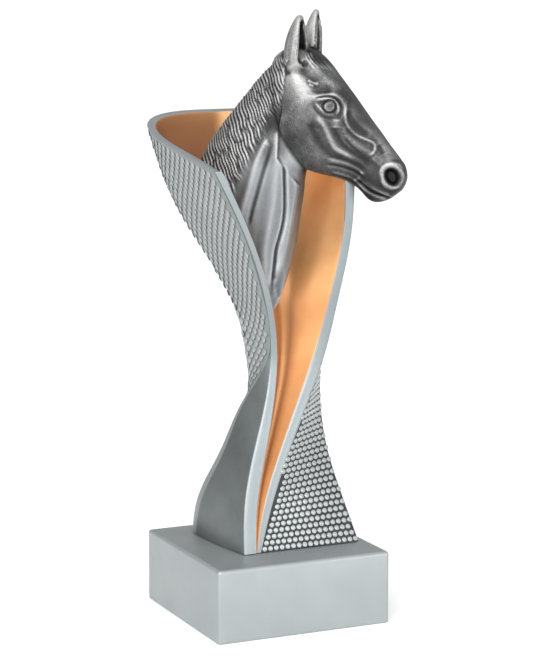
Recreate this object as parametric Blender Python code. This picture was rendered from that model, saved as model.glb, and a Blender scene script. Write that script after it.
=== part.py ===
"""Horse trophy: a twisted, hollow column with a horse's head rising from it, on a square plinth.

Metres, +Z up. The origin is the middle of the plinth's underside and -Y is the plinth's front.
The column starts as a square on the plinth, turns a quarter on its way up to a narrow waist and
opens into a cup. One of its faces is a channel between two flat bands. The horse's neck fills
the cup's front and ends as a wedge in the channel, and the head looks out over the right band.
"""
import bmesh
import bpy
import numpy as np
from math import cos, pi, radians, sin, tan

MM = 0.001

# Plinth
PLINTH_SIDE = 0.0640
PLINTH_HEIGHT = 0.0252
PLINTH_EDGE = 0.0012
PLINTH_EDGE_STEPS = 3
SEAT_RISE = 0.0012
SEAT_MARGIN = 0.0010

# Column, whose foot stands on the plinth's seat with a hair's gap
SEAT_GAP = 0.0003
COLUMN_HEIGHT = 0.1303
WALL = 0.0033
RIM_SLOPE = radians(17)
RIM_SLOPE_START = 0.54

# Heights of the drawn sections, as shares of the column's height
LEVELS = (0.0, 0.117, 0.238, 0.368, 0.497, 0.650, 0.825, 1.0)

# Where each edge of the column passes at those levels, in mm
EDGES = {
    "left band": ((-17.4, -20.8), (-16.0, -18.2), (-11.8, -15.2), (-6.0, -12.2),
                  (-2.6, -9.6), (-6.9, -15.0), (-16.6, -20.8), (-28.9, -23.4)),
    "right band": ((-11.8, -20.3), (-6.7, -18.4), (0.4, -15.9), (9.3, -13.0),
                   (16.8, -11.7), (20.3, -15.4), (22.5, -20.7), (22.3, -23.4)),
    "right": ((26.5, -20.4), (25.1, -9.8), (23.4, -1.3), (23.4, 4.7),
              (24.9, 9.4), (24.5, 15.5), (27.1, 24.1), (31.1, 32.4)),
    "back": ((24.0, 22.0), (13.4, 18.9), (2.4, 16.4), (-0.9, 12.5),
             (-4.4, 9.4), (-9.0, 19.0), (-27.2, 31.0), (-39.6, 31.2)),
    "left": ((-21.1, 22.1), (-22.2, 12.7), (-17.1, 3.7), (-10.5, -1.6),
             (-3.6, -8.6), (-7.4, -14.4), (-17.2, -20.3), (-29.4, -22.9)),
}

# Rounding of three edges and swell of four faces at those levels, in mm
EDGE_ROUNDING = {
    "left": (9.0, 7.0, 4.0, 1.2, 0.2, 0.2, 0.2, 0.2),
    "back": (2.0, 2.0, 2.0, 1.5, 2.0, 7.0, 17.0, 27.0),
    "right": (2.0, 2.0, 2.0, 1.5, 2.0, 7.0, 17.0, 27.0),
}
FACE_SWELL = {
    "smooth": (1.6, 1.3, 0.8, 0.4, 0.0, 0.0, 0.0, 0.0),
    "scale": (0.0, 0.0, 0.0, 0.0, 0.0, 0.0, 0.7, 2.2),
    "hind": (0.0, 0.0, 0.0, 0.0, 0.0, 0.3, 1.0, 1.5),
    "dotted": (0.0, 0.0, 0.0, 0.0, 0.0, 0.3, 1.0, 2.0),
}

# The two bands beside the channel and the channel's depth at those levels, in mm
LEFT_BAND = (4.2, 4.4, 4.4, 3.2, 2.4, 2.1, 2.0, 2.6)
RIGHT_BAND = (0.9, 2.4, 3.1, 3.7, 3.9, 3.1, 3.1, 3.9)
CHANNEL_DEPTH = (0.4, 3.0, 5.5, 7.0, 8.0, 10.5, 13.0, 16.0)
CUP_START = 0.60
CUP_END = 0.97

# The cup's wall is laid toward a point this share of the way from the bands to the section's middle,
# and runs into the bands' inner edges over this many walls
CUP_MIDDLE_SHARE = 0.7
BAND_RUN_IN = 2.5

# How finely the column is drawn
COLUMN_RINGS = 23
FACE_STEPS = {"smooth": 3, "scale": 5, "hind": 3, "dotted": 5}
CORNER_STEPS = {"left": 3, "back": 6, "right": 5}

# Horse, whose own axes are forward along its middle plane, sideways and up
HEAD_LENGTH = 0.0600
HEAD_DRAWN = 60.0
HORSE_HEADING = radians(-42)
HORSE_FOOT = (2.0, -5.0)
HORSE_FOOT_DRAWN = 94.0
HORSE_FOOT_SHARE = 0.7214
FACE_SLOPE = radians(51.7)
FACE_POINT = (20.0, 163.5)
FACE_POINT_ALONG = 13.1

# Roundness of the sections: below 1 the sides are fuller than an ellipse's
HEAD_FULLNESS = 0.78
HEAD_TAPER = 0.8
NECK_FULLNESS = 0.85
NECK_THROAT_SHARE = 0.12

# Head sections in mm: along the face, top, bottom, upper and lower half width
HEAD_SECTIONS = (
    (-2.0, -9.0, -14.5, 3.6, 3.6),
    (0.5, -4.8, -17.5, 5.4, 5.0),
    (5.0, -1.6, -22.5, 7.2, 6.2),
    (11.0, -0.4, -27.5, 8.4, 7.6),
    (18.0, -0.4, -31.0, 9.8, 8.6),
    (24.0, -0.4, -31.6, 9.8, 8.8),
    (30.0, -0.5, -30.6, 8.4, 8.2),
    (36.0, -0.6, -27.6, 7.0, 7.0),
    (41.0, -0.6, -23.6, 6.0, 5.9),
    (46.0, -0.7, -20.0, 5.2, 5.0),
    (51.0, -0.7, -18.2, 5.4, 4.4),
    (55.0, -1.5, -17.8, 5.4, 4.2),
    (58.0, -3.6, -15.6, 4.6, 3.6),
    (59.5, -6.6, -11.6, 2.6, 2.0),
)

# Neck sections in mm: crest point and throat point (forward, up above the column's foot),
# half width, sideways shift
NECK_SECTIONS = (
    (4.0, 166.3, 15.0, 146.3, 4.0, 0.0),
    (-1.2, 164.2, 12.5, 138.3, 5.4, 0.0),
    (-7.4, 158.0, 10.6, 131.3, 6.4, 0.3),
    (-13.2, 150.9, 9.6, 124.8, 7.8, 0.8),
    (-18.9, 143.5, 9.0, 119.3, 9.0, 1.6),
    (-24.4, 135.1, 8.4, 113.3, 9.6, 2.6),
    (-28.0, 125.8, 7.8, 106.8, 9.6, 3.8),
    (-29.0, 115.3, 7.2, 100.8, 8.8, 5.2),
    (-25.0, 104.3, 6.2, 95.3, 7.4, 6.8),
    (-17.0, 94.3, 4.8, 89.8, 5.6, 8.2),
    (-8.0, 85.8, 3.2, 84.3, 3.6, 9.4),
    (-1.5, 80.3, 1.4, 80.1, 1.6, 10.2),
)
NECK_MARGIN = 2.4
NECK_HELD_FROM = 0.3
NECK_HELD_LEVELS = 36
HEAD_RING = 28
NECK_RING = 28
RING_STEPS = 3

# Ears in mm: root and tip (forward, sideways, up), half breadth, half thickness, facing
EARS = (
    ((6.9, 4.8, 159.5), (9.4, 5.8, 181.5), 3.8, 3.2, radians(8)),
    ((9.7, -4.6, 162.5), (11.6, -6.2, 183.5), 3.4, 3.0, radians(6)),
)
EAR_STEPS = 9
EAR_RING = 12

# Carving strokes on the head: points along and above the face, half width, height, all in mm
HEAD_STROKES = (
    # brow over the eye
    (((15.5, -11.0), (18.6, -7.6), (21.6, -3.9), (25.4, -4.2), (28.0, -6.6)), 1.1, 0.75),
    # lower lid
    (((18.8, -9.2), (22.0, -10.4), (25.2, -9.4), (27.0, -7.4)), 0.7, 0.30),
    # hollow over the eye
    (((9.5, -7.6), (13.0, -7.0), (16.6, -6.2)), 1.9, -0.85),
    # ridge behind that hollow
    (((5.0, -11.5), (9.5, -13.0), (14.0, -11.8), (17.5, -9.6)), 1.7, 0.75),
    # ridge of the cheek bone
    (((24.5, -11.5), (29.0, -12.8), (34.5, -12.8), (40.0, -11.4), (44.5, -10.0)), 1.0, 0.70),
    # hollow above it
    (((28.5, -6.8), (35.0, -6.6), (42.0, -6.2), (47.0, -6.4)), 2.1, -0.75),
    # hollow between cheek and jaw
    (((31.0, -17.5), (37.0, -17.2), (42.5, -15.2), (47.0, -12.6)), 2.0, -0.75),
    # edge of the round jaw
    (((14.5, -20.5), (19.0, -26.0), (25.0, -29.6), (31.5, -29.4), (38.0, -25.6)), 1.5, 0.45),
    # creases behind the mouth
    (((39.0, -19.4), (44.0, -16.2), (48.5, -14.2)), 0.9, 0.50),
    (((41.5, -20.6), (46.5, -18.0), (50.0, -15.4)), 0.8, 0.40),
    # mouth
    (((48.0, -14.9), (52.0, -14.4), (56.0, -12.6), (60.5, -10.6)), 0.75, -1.25),
    # ring of the nostril
    (((50.4, -5.2), (51.6, -2.6), (54.6, -2.2), (57.0, -4.4), (56.6, -7.6),
      (53.6, -8.6), (51.0, -7.4), (50.4, -5.2)), 0.85, 0.85),
)
EYE = (22.8, -7.3)
EYE_HALF = (3.0, 1.7)
EYE_HEIGHT = 0.75
NOSTRIL = (54.0, -5.2)
NOSTRIL_HALF = (1.9, 1.5)
NOSTRIL_DEPTH = 2.2

# Carving strokes on the neck and chest: points forward and up, half width, height, in mm
NECK_STROKES = (
    (((-1.6, 133.3), (-3.4, 121.3), (-5.2, 110.3)), 1.3, 0.70),
    (((1.0, 133.3), (-0.9, 123.3), (-3.0, 111.3), (-3.6, 101.3)), 1.1, -0.80),
    (((3.0, 133.3), (3.0, 120.3), (1.8, 107.3), (-0.6, 95.3)), 1.2, 0.70),
    (((5.0, 131.3), (5.4, 119.3), (4.6, 109.3), (2.6, 97.3), (0.6, 86.3)), 0.9, -0.80),
    # groove behind the jaw
    (((5.6, 149.3), (3.6, 144.3), (2.4, 138.3), (4.6, 130.7), (10.6, 126.7), (17.0, 125.3)),
     1.2, -0.90),
)
# The jaw's lower edge, along and above the face: behind it the neck's strokes begin
JAW_LINE = ((-4.0, -14.0), (6.0, -13.5), (14.0, -20.5), (19.5, -27.0), (26.0, -32.0), (60.0, -34.0))
JAW_BLEND = 1.2
EAR_CLEARANCE = 1.5
EAR_END = 8.0
MANE_LINE = ((6.4, 162.3), (3.5, 153.3), (0.6, 143.3), (-4.2, 133.3), (-11.5, 122.3), (-20.0, 111.3))
MANE_LEAN = radians(68)
MANE_LOCK_PITCH = 2.7
MANE_LOCK_HEIGHT = 0.42
MANE_EDGE = 0.45

# How finely the horse is remeshed before and after carving
CARVE_VOXEL = 0.6
HORSE_FACES = 6000

# Finishes: colour, roughness, metallic
PLINTH_FINISH = ((0.50, 0.52, 0.52, 1.0), 0.42, 0.75)
COLUMN_FINISH = ((0.52, 0.54, 0.55, 1.0), 0.40, 0.80)


def spline(knots, values, where):
    """Natural cubic spline through one value or point at each knot."""
    knots = np.asarray(knots, float)
    values = np.asarray(values, float)
    last = len(knots) - 1
    step = np.diff(knots)
    matrix = np.eye(last + 1)
    right = np.zeros(values.shape)
    for i in range(1, last):
        matrix[i, i - 1] = step[i - 1]
        matrix[i, i] = 2 * (step[i - 1] + step[i])
        matrix[i, i + 1] = step[i]
        slope_after = (values[i + 1] - values[i]) / step[i]
        slope_before = (values[i] - values[i - 1]) / step[i - 1]
        right[i] = 6 * (slope_after - slope_before)
    bend = np.linalg.solve(matrix, right)
    i = int(np.clip(np.searchsorted(knots, where) - 1, 0, last - 1))
    a = (knots[i + 1] - where) / step[i]
    b = (where - knots[i]) / step[i]
    straight = a * values[i] + b * values[i + 1]
    return straight + ((a ** 3 - a) * bend[i] + (b ** 3 - b) * bend[i + 1]) * step[i] ** 2 / 6


def ease(share):
    """Smooth step from 0 to 1."""
    share = np.clip(share, 0.0, 1.0)
    return share * share * (3 - 2 * share)


def swollen_side(start, end, corner_a, corner_b, swell, steps):
    """Points from start to end beside the line of two corners, pushed outward by the swell."""
    share = np.linspace(0, 1, round(steps) + 1)[:, None]
    points = start + (end - start) * share
    line = corner_b - corner_a
    outward = np.array((-line[1], line[0])) / np.linalg.norm(line)
    along = ((points - corner_a) @ line) / (line @ line)
    return points + outward * (swell * 4 * along * (1 - along))[:, None]


def rounded_corner(start, corner, end, steps):
    """Points of a soft arc from start to end that bends toward the corner."""
    share = np.linspace(0, 1, round(steps) + 1)[:, None]
    return (1 - share) ** 2 * start + 2 * share * (1 - share) * corner + share ** 2 * end


def cut_back(corner, neighbour, distance):
    """The point at a distance from a corner toward its neighbour, at most half way."""
    line = neighbour - corner
    length = np.linalg.norm(line)
    return corner + line / length * min(distance, 0.49 * length)


def outer_path(level):
    """Plan of the column's outside at a level, from the left band round the back to the right."""
    at = {name: spline(LEVELS, path, level) for name, path in EDGES.items()}
    rounding = {name: max(0.05, float(spline(LEVELS, row, level)))
                for name, row in EDGE_ROUNDING.items()}
    swell = {name: float(spline(LEVELS, row, level)) for name, row in FACE_SWELL.items()}
    order = ("left band", "left", "back", "right", "right band")
    faces = ("smooth", "scale", "hind", "dotted")
    starts = [at["left band"]]
    ends = []
    for before, name, after in zip(order, order[1:], order[2:]):
        ends.append(cut_back(at[name], at[before], rounding[name]))
        starts.append(cut_back(at[name], at[after], rounding[name]))
    ends.append(at["right band"])
    sides = []
    for i, face in enumerate(faces):
        corners = at[order[i]], at[order[i + 1]]
        sides.append(swollen_side(starts[i], ends[i], *corners, swell[face], FACE_STEPS[face]))
    points = []
    for i, side in enumerate(sides):
        points.extend(side[:-1])
        if i + 1 < len(sides):
            corner = at[order[i + 1]]
            shift = (side[-1] - ends[i] + sides[i + 1][0] - starts[i + 1]) / 2
            steps = CORNER_STEPS[order[i + 1]]
            arc = rounded_corner(side[-1], corner + shift, sides[i + 1][0], steps)
            points.extend(arc[:-1])
    points.append(sides[-1][-1])
    return np.array(points)


def inner_path(level, outer):
    """Plan of the channel at a level, which opens into the cup above the waist."""
    left = outer[0] + np.array((float(spline(LEVELS, LEFT_BAND, level)), 0.0))
    right = outer[-1] - np.array((float(spline(LEVELS, RIGHT_BAND, level)), 0.0))
    walk = np.concatenate(((0.0,), np.cumsum(np.linalg.norm(np.diff(outer, axis=0), axis=1))))
    share = (walk / walk[-1])[:, None]
    depth = float(spline(LEVELS, CHANNEL_DEPTH, level))
    valley = (left + right) / 2 + np.array((0.0, 2 * depth))
    channel = (1 - share) ** 2 * left + 2 * share * (1 - share) * valley + share ** 2 * right

    wall = WALL / MM
    middle = (outer[0] + outer[-1]) / 2
    middle = middle + (outer.mean(axis=0) - middle) * CUP_MIDDLE_SHARE
    inward = middle - outer
    inward = inward / np.linalg.norm(inward, axis=1)[:, None]
    shell = outer + inward * wall
    reach = wall * BAND_RUN_IN
    near_left = np.exp(-(walk / reach) ** 2)[:, None]
    near_right = np.exp(-((walk[-1] - walk) / reach) ** 2)[:, None]
    shell = shell + near_left * (left - shell[0]) + near_right * (right - shell[-1])
    opening = float(ease((level - CUP_START) / (CUP_END - CUP_START)))
    return channel * (1 - opening) + shell * opening


def column_height_at(level, plan, front):
    """Height of plan points at a level: the rim rises toward the back."""
    slope = tan(RIM_SLOPE) * float(ease((level - RIM_SLOPE_START) / (1 - RIM_SLOPE_START)))
    return level * COLUMN_HEIGHT / MM + slope * (plan[:, 1] - front)


def column_rings():
    """Closed rings of the column's section, foot to rim, each outside path then inside path."""
    rings = []
    for level in np.linspace(0, 1, COLUMN_RINGS):
        outer = outer_path(level)
        inner = inner_path(level, outer)[::-1]
        plan = np.vstack((outer, inner))
        height = column_height_at(level, plan, outer[0][1])
        rings.append(np.column_stack((plan, height)))
    return rings


def finish(name, colour, roughness, metallic):
    """A Principled material."""
    material = bpy.data.materials.new(name)
    material.use_nodes = True
    shader = material.node_tree.nodes["Principled BSDF"]
    shader.inputs["Base Color"].default_value = colour
    shader.inputs["Roughness"].default_value = roughness
    shader.inputs["Metallic"].default_value = metallic
    return material


def add_object(name, shape, material=None, sharp_angle=radians(35)):
    """An object from a bmesh, shaded smooth between sharp edges."""
    mesh = bpy.data.meshes.new(name)
    shape.to_mesh(mesh)
    shape.free()
    mesh.shade_smooth()
    mesh.set_sharp_from_angle(angle=sharp_angle)
    thing = bpy.data.objects.new(name, mesh)
    bpy.context.scene.collection.objects.link(thing)
    if material:
        mesh.materials.append(material)
    return thing


def join_rings(shape, rings, close_ends=True):
    """Quads between rings of equal count, with a fan on each end."""
    loops = []
    for ring in rings:
        loops.append([shape.verts.new(point) for point in ring])
    for below, above in zip(loops, loops[1:]):
        count = len(below)
        for i in range(count):
            j = (i + 1) % count
            shape.faces.new((below[i], below[j], above[j], above[i]))
    if close_ends:
        for loop in (loops[0], loops[-1]):
            middle = sum((v.co for v in loop), loop[0].co * 0) / len(loop)
            tip = shape.verts.new(middle)
            for i in range(len(loop)):
                shape.faces.new((loop[i], loop[(i + 1) % len(loop)], tip))
    bmesh.ops.recalc_face_normals(shape, faces=shape.faces)
    return loops


def make_plinth():
    """Square block whose top rises in four shallow slopes to the column's seat."""
    shape = bmesh.new()
    bmesh.ops.create_cube(shape, size=1.0)
    bmesh.ops.scale(shape, vec=(PLINTH_SIDE, PLINTH_SIDE, PLINTH_HEIGHT), verts=shape.verts)
    bmesh.ops.translate(shape, vec=(0, 0, PLINTH_HEIGHT / 2), verts=shape.verts)
    edges = [e for e in shape.edges if max(v.co.z for v in e.verts) > PLINTH_HEIGHT / 2]
    bmesh.ops.bevel(shape, geom=edges, offset=PLINTH_EDGE, segments=PLINTH_EDGE_STEPS,
                    profile=0.5, affect="EDGES")
    shape.faces.ensure_lookup_table()
    top = max((f for f in shape.faces if f.normal.z > 0.99), key=lambda f: f.calc_area())
    bmesh.ops.inset_individual(shape, faces=[top], thickness=PLINTH_EDGE / 2)
    seat_low, seat_high = seat_corners()
    low = min(v.co.x for v in top.verts)
    high = max(v.co.x for v in top.verts)
    bmesh.ops.inset_individual(shape, faces=[top], thickness=PLINTH_EDGE / 2)
    for v in top.verts:
        v.co.x = seat_low[0] if v.co.x < (low + high) / 2 else seat_high[0]
        v.co.y = seat_low[1] if v.co.y < (low + high) / 2 else seat_high[1]
        v.co.z = PLINTH_HEIGHT + SEAT_RISE
    return add_object("plinth", shape, finish("plinth silver", *PLINTH_FINISH))


def seat_corners():
    """Lowest and highest corner of the column's foot with the seat's margin round it."""
    foot = outer_path(0.0) * MM
    return foot.min(axis=0) - SEAT_MARGIN, foot.max(axis=0) + SEAT_MARGIN


def column_place(points):
    """Drawn column points in mm as world points."""
    base = PLINTH_HEIGHT + SEAT_RISE + SEAT_GAP
    return np.asarray(points) * MM + np.array((0, 0, base))


def make_column():
    """The twisted column with its bands, channel and cup as one closed shell."""
    shape = bmesh.new()
    rings = [column_place(ring) for ring in column_rings()]
    loops = join_rings(shape, rings, close_ends=False)
    half = len(loops[0]) // 2
    for loop in (loops[0], loops[-1]):
        for i in range(half - 1):
            across = len(loop) - 1 - i
            shape.faces.new((loop[i], loop[i + 1], loop[across - 1], loop[across]))
    bmesh.ops.recalc_face_normals(shape, faces=shape.faces)
    bmesh.ops.triangulate(shape, faces=shape.faces)
    return add_object("horse_column", shape, finish("column silver", *COLUMN_FINISH))


def face_axes():
    """Directions along the face and out of it, in the horse's forward and up."""
    along = np.array((cos(FACE_SLOPE), -sin(FACE_SLOPE)))
    out = np.array((sin(FACE_SLOPE), cos(FACE_SLOPE)))
    return along, out


def from_face(along_face, above_face):
    """Forward and up of a point given along and above the face."""
    along, out = face_axes()
    start = np.array(FACE_POINT) - along * FACE_POINT_ALONG
    return start + along * along_face + out * above_face


def to_face(forward, up):
    """Along and above the face, of points given forward and up."""
    along, out = face_axes()
    start = np.array(FACE_POINT) - along * FACE_POINT_ALONG
    side_view = np.column_stack((forward, up)) - start
    return side_view @ along, side_view @ out


def horse_axes():
    """The horse's foot in the world, its forward and sideways directions and metres per mm."""
    foot = column_place(((*HORSE_FOOT, HORSE_FOOT_SHARE * COLUMN_HEIGHT / MM),))[0]
    forward = np.array((cos(HORSE_HEADING), sin(HORSE_HEADING), 0.0))
    side = np.array((sin(HORSE_HEADING), -cos(HORSE_HEADING), 0.0))
    return foot, forward, side, HEAD_LENGTH / HEAD_DRAWN


def horse_place(points):
    """Points in the horse's own axes and mm as world points."""
    foot, forward, side, scale = horse_axes()
    points = np.asarray(points)
    up = np.array((0.0, 0.0, 1.0))
    return foot + scale * (points[:, 0:1] * forward + points[:, 1:2] * side
                           + (points[:, 2:3] - HORSE_FOOT_DRAWN) * up)


def horse_own(points):
    """World points in the horse's own axes and mm."""
    foot, forward, side, scale = horse_axes()
    away = (np.asarray(points) - foot) / scale
    return np.column_stack((away @ forward, away @ side, away[:, 2] + HORSE_FOOT_DRAWN))


def held_inside(points):
    """Neck points kept inside the column's outside wherever they are lower than its rim."""
    levels = np.linspace(NECK_HELD_FROM, 1.0, NECK_HELD_LEVELS)
    paths = [outer_path(level) for level in levels]
    place = column_place(np.zeros((1, 3)))[0]
    kept = []
    for point in points:
        plan = (point[:2] - place[:2]) / MM
        height = (point[2] - place[2]) / MM
        rises = [float(column_height_at(level, plan[None, :], path[0][1])[0])
                 for level, path in zip(levels, paths)]
        if height < rises[-1]:
            nearest = int(np.searchsorted(rises, height))
            plan = pulled_inside(plan, paths[min(nearest, len(paths) - 1)], NECK_MARGIN)
            point = np.append(plan * MM + place[:2], point[2])
        kept.append(point)
    return np.array(kept)


def pulled_inside(plan, outline, margin):
    """A plan point drawn toward the outline's middle until it is the margin inside."""
    middle = outline.mean(axis=0)
    ray = plan - middle
    length = np.linalg.norm(ray)
    if length < 1e-6:
        return plan
    ray = ray / length
    for start, end in zip(outline, np.roll(outline, -1, axis=0)):
        side = end - start
        cross = ray[0] * side[1] - ray[1] * side[0]
        if abs(cross) < 1e-9:
            continue
        offset = start - middle
        reach = (offset[0] * side[1] - offset[1] * side[0]) / cross
        along = (offset[0] * ray[1] - offset[1] * ray[0]) / cross
        if reach > 0 and -1e-6 <= along <= 1 + 1e-6:
            return middle + ray * min(length, reach - margin)
    return plan


def head_rings():
    """Rings of the head: each section a rounded shape between face and jaw."""
    rows = np.array(HEAD_SECTIONS)
    places = np.linspace(0, len(rows) - 1, (len(rows) - 1) * RING_STEPS + 1)
    rings = []
    for place in places:
        along, top, bottom, upper, lower = spline(range(len(rows)), rows, place)
        ring = []
        for k in range(HEAD_RING):
            turn = 2 * pi * k / HEAD_RING
            lean = ((1 + cos(turn)) / 2) ** HEAD_TAPER
            half = upper * lean + lower * (1 - lean)
            side = half * np.sign(sin(turn)) * abs(sin(turn)) ** HEAD_FULLNESS
            above = (top + bottom) / 2 + (top - bottom) / 2 * cos(turn)
            forward, up = from_face(along, above)
            ring.append((forward, side, up))
        rings.append(ring)
    return rings


def neck_rings():
    """Rings of the neck from behind the ears down to the wedge in the channel."""
    rows = np.array(NECK_SECTIONS)
    places = np.linspace(0, len(rows) - 1, (len(rows) - 1) * RING_STEPS + 1)
    rings = []
    for place in places:
        row = spline(range(len(rows)), rows, place)
        crest = row[0:2]
        throat = row[2:4]
        half, shift = row[4:6]
        middle = (crest + throat) / 2
        reach = (throat - crest) / 2
        ring = []
        for k in range(NECK_RING):
            turn = 2 * pi * k / NECK_RING
            forward, up = middle + reach * cos(turn)
            side = half * np.sign(sin(turn)) * abs(sin(turn)) ** NECK_FULLNESS
            side = side * (1 + NECK_THROAT_SHARE * cos(turn))
            ring.append((forward, side + shift, up))
        rings.append(ring)
    return rings


def ear_rings(root, tip, breadth, thickness, facing):
    """Rings of one ear: a pointed leaf that is widest below its middle."""
    root = np.array(root)
    tip = np.array(tip)
    axis = (tip - root) / np.linalg.norm(tip - root)
    flat = np.array((cos(facing), sin(facing), 0.0))
    flat = flat - axis * (flat @ axis)
    flat = flat / np.linalg.norm(flat)
    deep = np.cross(axis, flat)
    rings = []
    for step in range(EAR_STEPS + 1):
        share = 0.03 + 0.94 * step / EAR_STEPS
        width = (sin(pi * share ** 0.72) ** 0.8) * 0.92 + 0.08
        middle = root + (tip - root) * share
        ring = []
        for k in range(EAR_RING):
            turn = 2 * pi * k / EAR_RING
            ring.append(middle + flat * breadth * width * cos(turn)
                        + deep * thickness * width * sin(turn))
        rings.append(ring)
    return rings


def blend_forms():
    """Head, neck and ears, in the horse's own axes and mm, melted into one skin."""
    shape = bmesh.new()
    join_rings(shape, head_rings())
    join_rings(shape, [horse_own(held_inside(horse_place(ring))) for ring in neck_rings()])
    for ear in EARS:
        join_rings(shape, ear_rings(*ear))
    rough = add_object("horse_form", shape)
    remesh = rough.modifiers.new("one skin", "REMESH")
    remesh.mode = "VOXEL"
    remesh.voxel_size = CARVE_VOXEL
    view = bpy.context.evaluated_depsgraph_get()
    skin = bpy.data.meshes.new_from_object(rough.evaluated_get(view))
    bpy.data.objects.remove(rough)
    return skin


def distance_to_line(x, y, line):
    """Distance of points to a line of straight stretches."""
    best = np.full(len(x), 1e9)
    for (ax, ay), (bx, by) in zip(line, line[1:]):
        run = (bx - ax) ** 2 + (by - ay) ** 2
        share = np.clip(((x - ax) * (bx - ax) + (y - ay) * (by - ay)) / run, 0, 1)
        best = np.minimum(best, np.hypot(x - ax - share * (bx - ax), y - ay - share * (by - ay)))
    return best


def bump(distance, half_width):
    """Bell curve of a distance."""
    return np.exp(-(distance / half_width) ** 2)


def head_relief(along, above, side, sideways):
    """Height of the head's carving at points, where the skin faces sideways."""
    relief = np.zeros(len(along))
    for line, half_width, height in HEAD_STROKES:
        relief += height * bump(distance_to_line(along, above, line), half_width)
    eye = np.hypot((along - EYE[0]) / EYE_HALF[0], (above - EYE[1]) / EYE_HALF[1])
    relief += EYE_HEIGHT * np.sqrt(np.clip(1 - eye ** 2, 0, 1))
    relief -= EYE_HEIGHT * 0.8 * bump(eye - 1.15, 0.28)
    nostril = np.hypot((along - NOSTRIL[0]) / NOSTRIL_HALF[0],
                       (above - NOSTRIL[1]) / NOSTRIL_HALF[1])
    relief -= NOSTRIL_DEPTH * ease(1.35 - nostril)
    return relief * ease(sideways * 1.6) * ease(np.abs(side) / 1.5)


def neck_relief(forward, up, side, sideways, behind_jaw):
    """Height of the carving on the neck: folds of the throat and locks of the mane."""
    folds = np.zeros(len(forward))
    for line, half_width, height in NECK_STROKES:
        folds += height * bump(distance_to_line(forward, up, line), half_width)
    line = np.array(MANE_LINE)[::-1]
    edge = np.interp(up, line[:, 1], line[:, 0])
    in_mane = ease((edge - forward) / 1.6 + 0.5)
    across = forward * sin(MANE_LEAN) + up * cos(MANE_LEAN)
    wave = np.abs(np.sin(pi * across / MANE_LOCK_PITCH))
    locks = MANE_LOCK_HEIGHT * (2 * np.sqrt(wave) - 1) + MANE_EDGE
    return (folds * ease(sideways * 1.6) * (1 - in_mane) + locks * in_mane) * behind_jaw


def carve(skin):
    """Push each point of the skin along its normal by the relief there."""
    count = len(skin.vertices)
    place = np.empty(count * 3)
    skin.vertices.foreach_get("co", place)
    place = place.reshape(-1, 3)
    normal = np.empty(count * 3)
    skin.vertices.foreach_get("normal", normal)
    normal = normal.reshape(-1, 3)
    forward, side, up = place.T
    along, above = to_face(forward, up)
    sideways = np.abs(normal[:, 1])
    jaw = np.array(JAW_LINE)
    jaw_depth = np.interp(along, jaw[:, 0], jaw[:, 1])
    behind_jaw = ease((jaw_depth - above) / JAW_BLEND)
    above_ears = ease((above - EAR_CLEARANCE) / EAR_CLEARANCE) * ease((EAR_END - along) / 2)
    relief = head_relief(along, above, side, sideways) * (1 - behind_jaw) * (1 - above_ears)
    relief += neck_relief(forward, up, side, sideways, behind_jaw)
    place = place + normal * relief[:, None]
    skin.vertices.foreach_set("co", place.ravel())
    skin.update()


def make_horse():
    """The horse's neck and head as one carved solid, light enough for the part."""
    skin = blend_forms()
    carve(skin)
    shape = bmesh.new()
    shape.from_mesh(skin)
    bpy.data.meshes.remove(skin)
    shape.verts.ensure_lookup_table()
    points = horse_place(np.array([v.co for v in shape.verts]))
    for v, point in zip(shape.verts, points):
        v.co = point
    bmesh.ops.recalc_face_normals(shape, faces=shape.faces)
    horse = add_object("horse", shape)
    thin = horse.modifiers.new("fewer faces", "DECIMATE")
    thin.ratio = min(1.0, HORSE_FACES / (2 * len(horse.data.polygons)))
    thin.use_collapse_triangulate = True
    return horse


def make_horse_column():
    """Column and horse, cast as one."""
    column = make_column()
    horse = make_horse()
    horse.hide_render = True
    horse.display_type = "WIRE"
    union = column.modifiers.new("cast as one", "BOOLEAN")
    union.operation = "UNION"
    union.solver = "EXACT"
    union.object = horse
    return column


def build():
    """Clear the scene and model the trophy."""
    for thing in list(bpy.data.objects):
        bpy.data.objects.remove(thing, do_unlink=True)
    make_plinth()
    make_horse_column()


build()
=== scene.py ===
from math import cos, pi, radians, sin, tan

import bmesh
import bpy
import numpy as np
from mathutils import Matrix, Vector


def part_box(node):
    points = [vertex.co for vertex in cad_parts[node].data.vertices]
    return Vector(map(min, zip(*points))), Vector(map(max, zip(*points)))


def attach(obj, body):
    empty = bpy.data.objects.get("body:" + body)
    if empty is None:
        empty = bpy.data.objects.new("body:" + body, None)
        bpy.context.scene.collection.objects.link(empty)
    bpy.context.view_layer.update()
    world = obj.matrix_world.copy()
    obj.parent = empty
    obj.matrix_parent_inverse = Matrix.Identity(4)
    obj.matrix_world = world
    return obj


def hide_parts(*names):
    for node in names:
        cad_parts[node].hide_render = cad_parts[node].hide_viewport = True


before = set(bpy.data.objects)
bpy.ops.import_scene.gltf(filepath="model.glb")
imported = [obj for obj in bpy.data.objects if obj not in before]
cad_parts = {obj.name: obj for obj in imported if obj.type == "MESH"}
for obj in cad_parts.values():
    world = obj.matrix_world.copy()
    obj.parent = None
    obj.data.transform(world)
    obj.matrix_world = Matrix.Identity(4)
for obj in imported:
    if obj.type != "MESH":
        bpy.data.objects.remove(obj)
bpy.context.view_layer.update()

MM = 0.001

# Places read from the frame
plinth_low, plinth_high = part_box("plinth")
column_low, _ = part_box("horse_column")
SEAT_RISE = 0.0012
PLINTH_TOP = plinth_high.z - SEAT_RISE
PLINTH_EDGE = 0.0012
PLINTH_EDGE_STEPS = 6
SEAT_EDGE = PLINTH_EDGE / 3
SEAT_EDGE_STEPS = 3
SEAT_MARGIN = 0.0010
COLUMN_FOOT = np.array((0.0, 0.0, column_low.z))

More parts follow.
